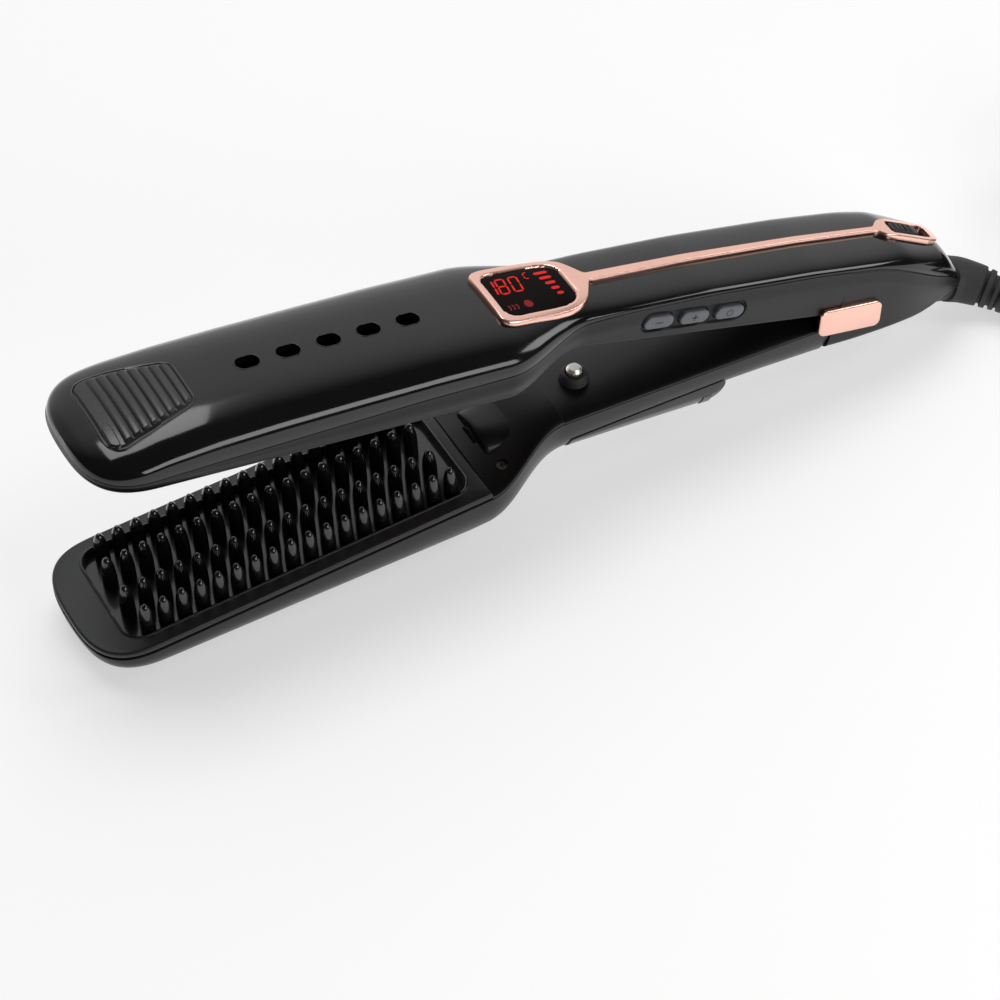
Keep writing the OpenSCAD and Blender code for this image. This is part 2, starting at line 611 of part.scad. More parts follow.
// The first and last rings may be turned to a face that they meet.
module sweep(path, radii, n, first, last) {
  m = len(path);
  pts = [for (i = [0 : m - 1]) each
    ring_at(path[i], i == 0 ? first : i == m - 1 ? last : heading(path, i), radii[i], n)];
  side = [for (i = [0 : m - 2], j = [0 : n - 1]) let (a = i * n + j, b = i * n + (j + 1) % n)
    each [[a, b + n, b], [a, a + n, b + n]]];
  polyhedron(points = pts, faces = concat(side, [[for (j = [0 : n - 1]) j]],
    [[for (j = [n - 1 : -1 : 0]) (m - 1) * n + j]]));
}

module strain_relief() {
  color([0.05, 0.05, 0.05]) {
    sweep(relief_path, relief_radius, 16, [cos(lift), 0, -sin(lift)], join_dir);
    upper_pose() translate([tail_len - relief_in + fit_gap, 0, relief_z]) rotate([0, 90, 0])
      cylinder(h = relief_in + 1, r = relief_root, $fn = 48);
  }
}

module cord() {
  color([0.04, 0.04, 0.04]) {
    sweep(cord_path, [for (p = cord_path) cord_d / 2], 10, join_dir, [1, 0, 0]);
    sweep(end_path, [for (p = end_path) cord_d / 2], 10, [cos(end_turn), sin(end_turn), 0], unit([1, 0, neck_fall]));
  }
}

module coil_outline(g) {
  translate([coil_r, tie_t + coil_h / 2]) round_rect(coil_w + 2 * g, coil_h + 2 * g, cord_d / 2 + g);
}
module at_coil() { translate([coil_mid[0], coil_mid[1], 0]) children(); }

module cord_coil() {
  color([0.04, 0.04, 0.04]) at_coil() rotate_extrude($fn = 96) coil_outline(0);
}

module cord_tie() {
  color([0.2, 0.2, 0.2]) at_coil() rotate([0, 0, 60]) rotate([90, 0, 0]) translate([0, 0, -3])
    linear_extrude(6) difference() {
      coil_outline(tie_t);
      coil_outline(0.25);
    }
}

// The plug lies on the table beyond the coil, in line with the brush.
module at_plug() { translate([plug_root[0] + neck_l, plug_root[1], 0]) children(); }

module plug() {
  color([0.04, 0.04, 0.04]) {
    translate(plug_root) rotate([0, 90 - atan(neck_fall), 0]) translate([0, 0, fit_gap])
      cylinder(h = neck_l + 1.4, r1 = 3.3, r2 = 5.2, $fn = 32);
    at_plug() translate([plug_l / 2, 0, 0]) linear_extrude(plug_h) round_rect(plug_l, plug_w, 6);
  }
}

module plug_pins() {
  color([0.75, 0.75, 0.75]) at_plug() for (s = [-1, 1])
    translate([plug_l, s * pin_space / 2, plug_h / 2]) rotate([0, 90, 0]) {
      cylinder(h = 17, r = 2, $fn = 32);
      translate([0, 0, 17]) sphere(2, $fn = 32);
    }
}

// ---- Lower arm ----

neck_xs = steps(neck_x0 + 4, neck_x1, 7);
lower_xs = concat(steps(lower_tip, lower_tip + 10, 5), steps(lower_tip + 14, belly_x0, 1),
  steps(belly_x0 + 12, neck_x0, 9), neck_xs, [neck_x1 + 3], steps(neck_x1 + 15, 0, 7));
// Removes what lies behind the front edge of the tail housing, as it stands with the arms open.
module seam_cut() {
  translate([0, 0, pin_z]) rotate([0, open_angle, 0]) translate([-seam_ahead - move_gap, -40, -50])
    cube([80, 80, 100]);
}
bush_x = neck_x1 + 12;
pump_r = 5.2;
tube_run = 6.8;
tank_x0 = bush_x + pump_r + tube_run;
tank_x1 = tank_x0 + tank_l;
module tank_hole(g, z0, z1) {
  translate([(tank_x0 + tank_x1) / 2, 0, z0]) linear_extrude(z1 - z0)
    round_rect(tank_l + 2 * g, 2 * (tank_half_w + g), 3 + g);
}
// Slab of the lower arm between its seam and a low crown.
module lid(xs, rise) {
  loft([for (x = xs) let (w = lower_w(x), z = seam(x)) shell_ring(x, w, z, z + rise, 0.9 * w, z + thin)]);
}
module on_plate(z = 0) {
  translate([plate_mid, 0, seam(plate_mid) + z]) rotate([0, -head_slope, 0]) children();
}

module lower_shell() {
  color([0.03, 0.03, 0.034]) difference() {
    lower_pose() difference() {
      loft([for (x = lower_xs)
        let (w = lower_w(x), z0 = seam(x), z1 = belly(x), e = x < lower_tip + shell_t)
        shell_ring(x, -w, z0, z1, e ? -0.8 * w : shell_t - w, e ? z0 - thin : z1 + shell_t)]);
      seam_cut();
      tank_hole(0, -10, 20);
    }
    translate([-head_len, -60, -20]) cube([2 * head_len, 120, 20]);
  }
}

frame_xs = concat(steps(lower_tip, lower_tip + 10, 5), steps(lower_tip + 15, neck_x0, 10));
frame_round = 1.2;
module head_frame() {
  color([0.07, 0.07, 0.075]) lower_pose() difference() {
    loft([for (x = frame_xs) let (w = lower_w(x), z = seam(x), c = frame_round)
      concat(
        [[x, -w, z], [x, -w, z + lip_h - c], [x, -w + c / 3, z + lip_h - c / 3], [x, -w + c, z + lip_h]],
        [[x, w - c, z + lip_h], [x, w - c / 3, z + lip_h - c / 3], [x, w, z + lip_h - c], [x, w, z]],
        [for (i = [0 : 7]) [x, w * (0.9 - 1.8 * i / 7), z + thin]])]);
    translate([plate_mid, 0, 0]) linear_extrude(60) round_rect(plate_l, 2 * plate_half_w, plate_round);
  }
}

module tooth_plate() {
  color([0.02, 0.02, 0.022]) lower_pose() on_plate() translate([0, 0, -2]) linear_extrude(2)
    round_rect(plate_l + 4, 2 * plate_half_w + 3, plate_round + 1.8);
}

module tooth() {
  cylinder(h = tooth_h - tooth_tip_r, r1 = tooth_r, r2 = tooth_tip_r, $fn = 32);
  translate([0, 0, tooth_h - tooth_tip_r]) sphere(tooth_tip_r, $fn = 32);
}
module tooth_row(y, shift) {
  color([0.02, 0.02, 0.022]) lower_pose() on_plate() for (i = [0 : tooth_count - 1])
    translate([tooth_x(i) - shift, y, 0]) tooth();
}
module tooth_row_1() { tooth_row(-row_outer_y, 0); }
module tooth_row_2() { tooth_row(-row_inner_y, row_shift); }
module tooth_row_3() { tooth_row(row_inner_y, row_shift); }
module tooth_row_4() { tooth_row(row_outer_y, 0); }

heater_t = 3.6;
module heater_plate() {
  color([0.7, 0.7, 0.72]) lower_pose() on_plate() translate([0, 0, -2 - heater_t]) linear_extrude(heater_t)
    round_rect(plate_l - 14, 2 * plate_half_w - 8, 3);
}
module thermal_fuse() {
  color([0.8, 0.78, 0.7]) lower_pose() on_plate(-2 - heater_t - 1.95) rotate([0, 90, 0])
    cylinder(h = 12, r = 1.9, center = true, $fn = 32);
}

nozzle_x = neck_x0 + 6;
hump_l = 16;
hump_r = 7.5;
hump_z = 18.8;
nozzle_r = 5;
lid_rise = 2.4;
cover_rise = 1.8;
screw_x = neck_x0 + 8;
screw_y = 16.5;
screw_r = 1.8;

module neck_cover() {
  color([0.03, 0.03, 0.034]) lower_pose() difference() {
    union() {
      lid(concat([neck_x0 + 0.05], [for (i = [0 : 6]) neck_xs[i]], [neck_x1 - 0.05]), lid_rise);
      intersection() {
        translate([nozzle_x, 0, hump_z]) rotate([0, 90, 0]) cylinder(h = hump_l, r = hump_r, $fn = 64);
        translate([nozzle_x - 1, -20, hump_z - 0.3]) cube([hump_l + 2, 40, 20]);
      }
    }
    translate([nozzle_x - 1, 0, hump_z]) rotate([0, 90, 0])
      cylinder(h = hump_l + 2, r = nozzle_r + fit_gap / 2, $fn = 48);
    for (s = [-1, 1]) translate([screw_x, s * screw_y, 0]) {
      cylinder(h = 40, r = 1.1, $fn = 24);
      translate([0, 0, screw_top - 1]) cylinder(h = 5, r = screw_r + fit_gap, $fn = 32);
    }
  }
}
screw_top = seam(screw_x) + lid_rise * bulge(screw_y, lower_w(screw_x)) - 0.2;

module steam_nozzle() {
  color([0.1, 0.1, 0.1]) lower_pose() translate([nozzle_x - 0.4, 0, hump_z]) rotate([0, 90, 0]) difference() {
    cylinder(h = hump_l - 6, r = nozzle_r, $fn = 48);
    for (i = [-1 : 1]) translate([0, i * 2.8, -1]) cylinder(h = 6, r = 0.8, $fn = 24);
  }
}
module steam_chamber() {
  color([0.7, 0.7, 0.72]) lower_pose() translate([nozzle_x + hump_l - 6.4, 0, hump_z]) rotate([0, 90, 0])
    cylinder(h = chamber_l, r = nozzle_r, $fn = 48);
}
chamber_l = 9;

module neck_screws() {
  color([0.45, 0.45, 0.47]) lower_pose() for (s = [-1, 1]) translate([screw_x, s * screw_y, screw_top - 1])
    difference() {
      union() {
        cylinder(h = 1, r = screw_r, $fn = 32);
        translate([0, 0, -7]) cylinder(h = 7.2, r = 1, $fn = 24);
      }
      for (a = [0, 90]) rotate([0, 0, a]) translate([-1.1, -0.25, 0.5]) cube([2.2, 0.5, 1]);
    }
}

bush_r = 4.5;
bush_up = 0.8;
bush_z = seam(bush_x) + cover_rise;
module handle_cover() {
  color([0.05, 0.05, 0.055]) lower_pose() difference() {
    lid(concat(steps(neck_x1 + 0.05, -24, 7), steps(-18, -6, 2)), cover_rise);
    translate([bush_x, 0, 0]) cylinder(h = 60, r = bush_r + fit_gap / 2, $fn = 48);
    seam_cut();
  }
}

module plunger_bush() {
  color([0.04, 0.04, 0.04]) lower_pose() translate([bush_x, 0, bush_z - 3]) difference() {
    cylinder(h = 3 + bush_up, r = bush_r, $fn = 48);
    translate([0, 0, -1]) cylinder(h = 10, r = plunger_r + move_gap, $fn = 48);
  }
}

plunger_low = 5;
module pump_plunger() {
  color([0.8, 0.8, 0.82]) lower_pose() translate([bush_x, 0, bush_z - 3 - plunger_low]) {
    cylinder(h = plunger_low + 3 + bush_up + plunger_up - 1, r = plunger_r, $fn = 48);
    translate([0, 0, plunger_low + 2 + bush_up + plunger_up]) cylinder(h = 1, r1 = plunger_r, r2 = plunger_r - 0.8, $fn = 48);
  }
}

pump_z = belly(bush_x) + shell_t + 0.7;
module pump_body() {
  color([0.85, 0.85, 0.82]) lower_pose() translate([bush_x, 0, pump_z]) difference() {
    cylinder(h = bush_z - 3.1 - pump_z, r = pump_r, $fn = 48);
    translate([0, 0, 1.5]) cylinder(h = 40, r = plunger_r + move_gap, $fn = 48);
  }
}
module pump_spring() {
  color([0.5, 0.5, 0.52]) lower_pose() for (i = [0 : 2])
    translate([bush_x, 0, pump_z + 1.95 + i * 0.95]) rotate_extrude($fn = 40) translate([1.9, 0]) circle(0.45, $fn = 16);
}

tube_r = 1.5;
module water_tube_in() {
  color([0.8, 0.8, 0.8]) lower_pose() translate([bush_x + pump_r + 0.1, 0, pump_z + 5]) rotate([0, 90, 0])
    cylinder(h = tank_x0 - move_gap - bush_x - pump_r - 0.1, r = tube_r, $fn = 32);
}
module water_tube_out() {
  color([0.8, 0.8, 0.8]) lower_pose() translate([nozzle_x + hump_l - 6.4 + chamber_l, 0, hump_z]) rotate([0, 90, 0])
    cylinder(h = bush_x - pump_r - 0.1 - (nozzle_x + hump_l - 6.4 + chamber_l), r = tube_r, $fn = 32);
}

// Trough of the tank: it hugs the handle's belly and deepens towards its tab.
trough_x0 = neck_x1 + 3;
trough_x1 = tank_x1 + 1.5;
trough_from = 26;
function part_crown(x, w, z0, z1) = [for (i = [0 : arc_n]) let (a = trough_from + (180 - 2 * trough_from) * i / arc_n)
  [x, -w * sign(cos(a)) * pow(abs(cos(a)), 0.75), z0 + (z1 - z0) * pow(abs(sin(a)), 0.75)]];
function tank_low(x) = belly(x) - 1 - tank_drop * (x - trough_x0) / (trough_x1 - trough_x0);
tank_box_top = 20;
module water_tank() {
  color([0.06, 0.06, 0.065]) lower_pose() difference() {
    union() {
      loft([for (x = steps(trough_x0, trough_x1, 8)) let (w = lower_w(x) + 0.25, z = seam(x))
        concat(part_crown(x, -w, z, tank_low(x)), flip(part_crown(x, -w, z, belly(x) - move_gap)))]);
      tank_hole(-move_gap, belly(tank_x1) - 1.6, tank_box_top);
    }
    translate([tank_x0 + 2, -tank_half_w + 2, belly(tank_x0) + 1]) cube([tank_l - 4, 2 * tank_half_w - 4, 8.8]);
    translate([tank_plug_x, 0, 0]) cylinder(h = 20 - 9, r = tank_plug_r, $fn = 40);
  }
}
tank_plug_x = (tank_x0 + tank_x1) / 2;
tank_plug_r = 4;
module tank_plug() {
  color([0.25, 0.25, 0.26]) lower_pose() translate([tank_plug_x, 0, tank_low(tank_plug_x) + 0.4])
    cylinder(h = 4, r = tank_plug_r - 0.05, $fn = 40);
}

web_z = 14;
web_h = 4.5;
web_l = 34;
web_y = 10.3;
web_w = 5.9;
post_x = -26;
module lower_hinge() {
  color([0.06, 0.06, 0.065]) lower_pose() difference() {
    union() {
      for (y = [-web_y, web_y - web_w]) {
        translate([0, y + web_w, pin_z]) rotate([90, 0, 0]) cylinder(h = web_w, r = knuckle_r, $fn = 64);
        translate([-web_l, y, web_z]) cube([web_l, web_w, web_h]);
      }
      translate([-web_l, -web_y, web_z]) cube([20, 2 * web_y, web_h]);
      translate([post_x, 0, belly(post_x) + shell_t + 0.65])
        cylinder(h = web_z - belly(post_x) - shell_t - 0.6, r = 4, $fn = 40);
    }
    translate([0, 30, pin_z]) rotate([90, 0, 0]) cylinder(h = 60, r = pin_r + pin_clear, $fn = 48);
  }
}

upper_shell();
upper_housing();
tip_grip();
trim_inlay();
display_window();
display_module();
control_board();
switch_board();
button_minus();
button_plus();
button_power();
lock_slider();
bristle_plate();
bristle_tufts();
ir_lens_1();
ir_lens_2();
ir_lens_3();
ir_board();
hinge_panel_near();
hinge_panel_far();
hinge_pin();
hinge_spring();
cord_clamp();
strain_relief();
cord();
cord_coil();
cord_tie();
plug();
plug_pins();
lower_shell();
head_frame();
tooth_plate();
tooth_row_1();
tooth_row_2();
tooth_row_3();
tooth_row_4();
heater_plate();
thermal_fuse();
neck_cover();
steam_nozzle();
steam_chamber();
neck_screws();
handle_cover();
plunger_bush();
pump_plunger();
pump_body();
pump_spring();
water_tube_in();
water_tube_out();
water_tank();
tank_plug();
lower_hinge();
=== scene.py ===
# %% [markdown]
# # Steam hair straightener brush
# The object is a clamp of two arms on one hinge. The upper arm has a glossy shell with a rose gold
# display frame, side buttons and the mains lead; the lower arm has rows of teeth, a steam nozzle and
# a water tank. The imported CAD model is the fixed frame, and this lesson dresses it piece by piece.

import math

import bpy
import bmesh
import numpy as np
from mathutils import Matrix, Vector


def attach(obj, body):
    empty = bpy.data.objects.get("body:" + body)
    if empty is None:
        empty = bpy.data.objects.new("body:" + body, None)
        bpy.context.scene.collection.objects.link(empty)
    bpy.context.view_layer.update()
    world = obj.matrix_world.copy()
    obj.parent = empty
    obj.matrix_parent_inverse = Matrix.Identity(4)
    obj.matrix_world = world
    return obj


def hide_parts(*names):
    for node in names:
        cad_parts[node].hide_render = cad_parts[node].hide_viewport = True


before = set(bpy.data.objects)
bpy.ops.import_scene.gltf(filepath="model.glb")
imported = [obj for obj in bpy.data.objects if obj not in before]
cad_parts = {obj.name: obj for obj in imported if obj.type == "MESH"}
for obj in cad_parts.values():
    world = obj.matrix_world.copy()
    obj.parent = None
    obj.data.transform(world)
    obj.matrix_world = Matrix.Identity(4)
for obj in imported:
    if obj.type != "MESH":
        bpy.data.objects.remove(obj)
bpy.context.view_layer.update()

# %% [markdown]
# ## Camera, floor and light
# The photograph looks down on the brush from the side that carries the buttons, with a long lens.
# A long lens keeps both arms nearly parallel, so the camera stands about a metre away.

# %% Camera
def aim(obj, place, target, roll=0.0):
    """Turns an object so that its -Z axis looks from place to target, then rolls it about that axis."""
    look = (Vector(target) - Vector(place)).normalized()
    turn = look.to_track_quat("-Z", "Y").to_matrix().to_4x4()
    obj.matrix_world = Matrix.Translation(place) @ turn @ Matrix.Rotation(math.radians(roll), 4, "Z")


lens = bpy.data.cameras.new("camera")
lens.sensor_width = 36.0
lens.lens = 113.65
lens.clip_start = 0.05
camera = bpy.data.objects.new("camera", lens)
bpy.context.scene.collection.objects.link(camera)
aim(camera, (-0.2897, -0.5975, 0.7492), (0.0782, 0.0, -0.0116), roll=2.56)
bpy.context.scene.camera = camera
print("lens", round(lens.lens, 2), "mm, camera at", [round(v, 3) for v in camera.matrix_world.translation])

# %% [markdown]
# The floor and the sky are plain and pale. The camera sees the world as white. The black plastic
# mirrors its surroundings, so these are a tent that is bright behind the brush and dim overhead, and
# a few soft lamps whose reflections draw its long highlights.

# %% Lamps
def area_light(name, place, target, size, power):
    """One rectangular lamp of the given width and height that looks at a point."""
    lamp = bpy.data.lights.new(name, "AREA")
    lamp.shape = "RECTANGLE"
    lamp.size, lamp.size_y = size
    lamp.energy = power
    holder = bpy.data.objects.new(name, lamp)
    bpy.context.scene.collection.objects.link(holder)
    aim(holder, place, target)
    return holder


def lamp_towards(name, ahead, away, size, power):
    """A lamp that stands in a direction from the head of the brush, at a distance, and looks back at it."""
    head = Vector((-0.02, 0.0, 0.06))
    return area_light(name, head + away * Vector(ahead).normalized(), head, size, power)


lamp_towards("near_strip", (0.36, -0.86, 0.35), 1.1, (0.75, 0.32), 4.0)
lamp_towards("top_box", (0.05, 0.30, 1.0), 1.2, (0.9, 0.5), 7.0)
lamp_towards("tail_box", (0.85, -0.25, 0.45), 1.0, (0.3, 0.3), 1.5)
print(len(bpy.data.lights), "lamps")

# %% [markdown]
# A material or a sky is a small tree of nodes. Two helpers keep the rest of this lesson short: one
# feeds a node with numbers and links, and one adds a node and feeds it.

# %% Node helpers
def feed(node, *sources, **settings):
    """Gives a node its properties and inputs: inputs go by name or by place, as values or as links."""
    for key, value in [*settings.items(), *enumerate(sources)]:
        if isinstance(key, str) and hasattr(node, key):
            setattr(node, key, value)
            continue
        socket = node.inputs[key if isinstance(key, int) else key.replace("_", " ")]
        if isinstance(value, bpy.types.NodeSocket):
            node.id_data.links.new(value, socket)
        else:
            socket.default_value = value
    return node


def add(tree, kind, *sources, **settings):
    """One new node of a kind, fed with its settings."""
    return feed(tree.nodes.new("ShaderNode" + kind), *sources, **settings)


def blend(tree, factor, a, b):
    """Colour = a + (b - a) x factor."""
    return add(tree, "Mix", data_type="RGBA", Factor=factor, A=a, B=b).outputs["Result"]


print("node helpers ready")

# %% [markdown]
# The tent's level is a function of direction alone: the dot product with one direction behind the
# brush, put through an S-curve.

# %% Sky
def tent_level(tree, behind, low, high, start, end):
    """Grey level = low + (high - low) x smoothstep(start, end, direction . behind)."""
    look = add(tree, "TexCoord").outputs["Generated"]
    dot = add(tree, "VectorMath", look, Vector(behind).normalized(), operation="DOT_PRODUCT")
    curve = add(tree, "MapRange", interpolation_type="SMOOTHSTEP", Value=dot.outputs["Value"],
                From_Min=start, From_Max=end, To_Min=low, To_Max=high)
    return curve.outputs["Result"]


world = bpy.data.worlds.new("sky")
bpy.context.scene.world = world
world.use_nodes = True
sky = world.node_tree
sky.nodes.clear()
level = tent_level(sky, (0.309, 0.928, 0.206), 0.08, 1.0, 0.25, 0.85)
tent = add(sky, "Background", Strength=1.0, Color=level)
white = add(sky, "Background", Strength=1.0, Color=(1, 1, 1, 1))
ray = add(sky, "LightPath").outputs
seen = add(sky, "Math", ray["Is Camera Ray"], ray["Is Transmission Ray"], operation="MAXIMUM")
pick = add(sky, "MixShader", seen.outputs[0], tent.outputs[0], white.outputs[0])
add(sky, "OutputWorld", Surface=pick.outputs[0])

bpy.context.scene.view_settings.view_transform = "Standard"
print("sky of", len(sky.nodes), "nodes")

# %% [markdown]
# ## The lines of the side view
# Both arms are drawn closed and level, in millimetres, with the hinge pin over x = 0, as in the
# part's source. A few chosen points give each line; a moving average rounds their corners, which
# a CAD solid of few faces leaves sharp.

# %% Where the arms stand
TIP, NECK_A, NECK_B, TAIL = -277.0, -140.0, -108.0, 54.0
PIN_Z = 22.0
HINGE = np.array([200.08, 0.0, 29.90])
LIFT = {"upper": math.radians(12.0), "lower": math.radians(-2.0)}
HEAD_W, HANDLE_W = 50.0, 31.0
PLATE_MID, PLATE_SLOPE = -203.75, 0.035
GLOSS_SHARE, KEY_FALL = 0.97, 0.07


def stand(points, arm):
    """Turns closed-arm points about the hinge pin by the arm's lift, and gives metres in the row frame."""
    p = np.asarray(points, float)
    c, s = math.cos(LIFT[arm]), math.sin(LIFT[arm])
    x, z = p[..., 0], p[..., 2] - PIN_Z
    return (np.stack([x * c + z * s, p[..., 1], z * c - x * s], -1) + HINGE) / 1000.0


print("the arms open", round(math.degrees(LIFT["upper"] - LIFT["lower"]), 1), "degrees")


# %% Soft lines
def line(points, soft=7.0):
    """A soft line through points: the mean of the broken line over a window that narrows at both ends."""
    xs, zs = np.array(points, float).T
    weights = np.hanning(15)[1:-1]
    steps = np.linspace(-1, 1, 13)

    def value(x):
        x = np.asarray(x, float)
        reach = np.clip(np.minimum(x - xs[0], xs[-1] - x), 0, soft)
        spread = np.interp(x[..., None] + reach[..., None] * steps, xs, zs)
        return (spread * weights).sum(-1) / weights.sum()

    return value


ridge = line([(TIP, 25), (TIP + 3, 28.3), (TIP + 10, 32), (TIP + 22, 35.6), (TIP + 37, 38.4),
              (TIP + 58, 40.8), (TIP + 84, 43), (NECK_A - 26, 45), (NECK_A, 46.3), (NECK_B, 46.8),
              (-64, 46.9), (-20, 45.3), (5, 43.5), (16, 42.7), (20, 42.4), (42, 35.2), (48, 28.9),
              (TAIL, 23.6)], 4.0)
gloss = line([(TIP, 22.6), (TIP + 12, 23.8), (TIP + 39, 26.9), (NECK_A - 29, 34), (NECK_A - 9, 35.4),
              (NECK_A + 5, 36.6), (NECK_A + 22, 40), (NECK_A + 30, 42.3), (NECK_B + 12, 43.4),
              (-60, 43.8), (-38, 43), (-17, 42.2), (8, 40), (16, 38), (25, 34.8), (33, 31.2),
              (42, 27.6), (48, 25), (TAIL, 20)])
tail_floor = line([(-5, 8.8), (5, 9.5), (15, 10.8), (24, 12.2), (36, 13.4), (42, 15.5), (48, 17.2),
                   (TAIL, 18)])
belly = line([(TIP + 2, 12.5), (TIP + 4.5, 7.5), (TIP + 9, 4.4), (TIP + 15, 2.2), (-256, 0.77),
              (-146, -3.07), (NECK_A + 4, -2.4), (NECK_A + 10, -0.2), (NECK_A + 17, 4.2),
              (NECK_A + 25, 8), (NECK_B + 3, 9.5), (-80, 9.2), (-47, 8.4), (-31, 6.8), (0, 3)], 5.0)

print("ridge over the neck", round(float(ridge(-124.0)), 2), "mm")


# %% Widths and seams
def smooth(t):
    """The S-curve 3t^2 - 2t^3, held at 0 and 1 outside its span."""
    t = np.clip(t, 0, 1)
    return t * t * (3 - 2 * t)


def neck(x):
    """0 on the head, 1 on the handle, and an S-curve between them."""
    return smooth((np.asarray(x, float) - NECK_A) / (NECK_B - NECK_A))


def mix(a, b, t):
    """The point a share t of the way from a to b."""
    return a + (b - a) * t


def half_w(x, tip=TIP):
    """Half width in plan: a superellipse of exponent 3 at the tip, the head, the neck, and the tail."""
    x = np.asarray(x, float)
    t = np.clip(1 - (x - tip) / 22.0, 0, 0.999)
    tail = 1 - 0.42 * np.clip((x - 18) / (TAIL - 18), 0, 1) ** 2
    return mix(HEAD_W, HANDLE_W, neck(x)) / 2 * np.cbrt(1 - t ** 3) * tail


def lower_w(x):
    """Half width of the lower arm, whose tip lies 2 mm further back."""
    return half_w(x, TIP + 2) - 0.5 * neck(x)


def seam(x):
    """Upper edge of the lower arm's shell: two straight slopes joined over the neck."""
    return mix(16.6 + 0.035 * (x + 200), 23.4 - 0.07 * (x + 60), neck(x))


def edge(x):
    """Lower edge of the upper arm: two straight slopes joined over the neck."""
    return mix(24.3 + 0.05 * (x + 200), 28.6 - 0.0895 * (x + 60), neck(x))


def crown(u):
    """Share of the full height at a share u of the half width: a superellipse of exponent 2.67."""
    return np.clip(1 - np.clip(u, 0, 1) ** 2.67, 0, 1) ** (1 / 2.67)


def skin(x, y):
    """Height of the glossy shell over a plan point, between its edge and its ridge."""
    return gloss(x) + (ridge(x) - gloss(x)) * crown(np.abs(y) / (GLOSS_SHARE * half_w(x)))


print("head", round(2 * float(half_w(-200.0)), 1), "mm wide, crown", round(float(skin(-200.0, 0)), 1), "mm")

# %% [markdown]
# ## Making meshes from arrays
# Every new piece is a grid of points worked out as one array. These helpers turn such a grid into a
# closed mesh, carve it where something passes through, and put it on its body.

# %% Solids from rings
def grid_quads(rows, cols, closed):
    """Quads between neighbouring rows, and between neighbouring columns, which may join up."""
    i, j = np.meshgrid(np.arange(rows - 1), np.arange(cols if closed else cols - 1), indexing="ij")
    k = (j + 1) % cols
    return np.stack([i * cols + j, i * cols + k, (i + 1) * cols + k, (i + 1) * cols + j], -1).reshape(-1, 4)


def tube(rings):
    """A closed solid from rings of equal length: quads between the rings and one face over each end."""
    rows, cols = rings.shape[:2]
    last = (rows - 1) * cols
    caps = np.array([np.arange(cols)[::-1], last + np.arange(cols)])
    return rings.reshape(-1, 3), [grid_quads(rows, cols, True), caps]


def loop_tube(rings):
    """A closed solid whose last ring joins its first, like a torus."""
    rows, cols = rings.shape[:2]
    quads = grid_quads(rows + 1, cols, True) % (rows * cols)
    return rings.reshape(-1, 3), [quads]


print("a tube of 3 rings of 4 has", sum(len(f) for f in tube(np.zeros((3, 4, 3)))[1]), "faces")


# %% Places and copies
def stations(xs, y, z):
    """Rings across the arm: row k of y and z lies at xs[k]."""
    return np.stack([np.broadcast_to(xs[:, None], y.shape), y, z], -1)


def placed(part, arm):
    """A solid of the closed arm in metres, where the open arm stands."""
    return stand(part[0], arm), part[1]


def copied(faces, starts):
    """The same faces once for each start, the number of that copy's first point."""
    return [(f[None] + starts[:, None, None]).reshape(-1, f.shape[1]) for f in faces]


def repeated(part, offsets):
    """The same solid set down at each offset, as one pair of arrays."""
    points, faces = part
    offsets = np.asarray(offsets, float)
    all_points = (points[None] + offsets[:, None]).reshape(-1, 3)
    return all_points, copied(faces, np.arange(len(offsets)) * len(points))


def together(*parts):
    """Several solids as one pair of arrays."""
    points, faces, start = [], [], 0
    for p, f in parts:
        points.append(p)
        faces += [a + start for a in f]
        start += len(p)
    return np.concatenate(points), faces


print("the pin stands at", stand([0, 0, PIN_Z], "upper"), "m")


# %% Round solids
def circle(n):
    """n even angles round a full turn."""
    return np.linspace(0, 2 * np.pi, n, endpoint=False)


def eased(n):
    """n steps from 0 to 1 on a quarter sine, closer and closer together."""
    return np.sin(np.linspace(0, np.pi / 2, n))


def turned(profile, sides=32):
    """A solid of revolution about Z from (radius, height) pairs, with a flat face at each end."""
    r, z = np.array(profile, float).T
    a = circle(sides)
    rings = np.stack([r[:, None] * np.cos(a), r[:, None] * np.sin(a), np.repeat(z[:, None], sides, 1)], -1)
    return tube(rings)


def moved(part, place=(0, 0, 0), tilt=0.0, axis="Z"):
    """Turns a solid drawn about +Z so that Z points along an axis, tilts it about Y, and sets it down."""
    turn = {"Z": np.eye(3), "X": np.array([[0, 0, 1], [0, 1, 0], [-1, 0, 0]], float),
            "-Y": np.array([[1, 0, 0], [0, 0, -1], [0, 1, 0]], float),
            "Y": np.array([[1, 0, 0], [0, 0, 1], [0, -1, 0]], float)}[axis]
    c, s = math.cos(math.radians(tilt)), math.sin(math.radians(tilt))
    lean = np.array([[c, 0, s], [0, 1, 0], [-s, 0, c]])
    return part[0] @ turn.T @ lean.T + np.array(place, float), part[1]


print("a turned cup has", len(turned([(1, 0), (1, 1)])[0]), "points")


# %% [markdown]
# A piece is a mesh with a name, a finish, a body to ride on, and a slot for its material. Where
# something passes through it, Boolean modifiers carve it, and their result becomes its mesh.

# %% Meshes and pieces
def mesh_of(name, points, face_sets):
    """Puts a point array and arrays of faces, one for each number of corners, into a mesh."""
    mesh = bpy.data.meshes.new(name)
    corners = np.concatenate([f.ravel() for f in face_sets]).astype(np.int32)
    sizes = np.concatenate([np.full(len(f), f.shape[1]) for f in face_sets])
    mesh.vertices.add(len(points))
    mesh.vertices.foreach_set("co", np.asarray(points, np.float32).ravel())
    mesh.loops.add(len(corners))
    mesh.loops.foreach_set("vertex_index", corners)
    mesh.polygons.add(len(sizes))
    mesh.polygons.foreach_set("loop_start", (np.cumsum(sizes) - sizes).astype(np.int32))
    mesh.update(calc_edges=True)
    return mesh


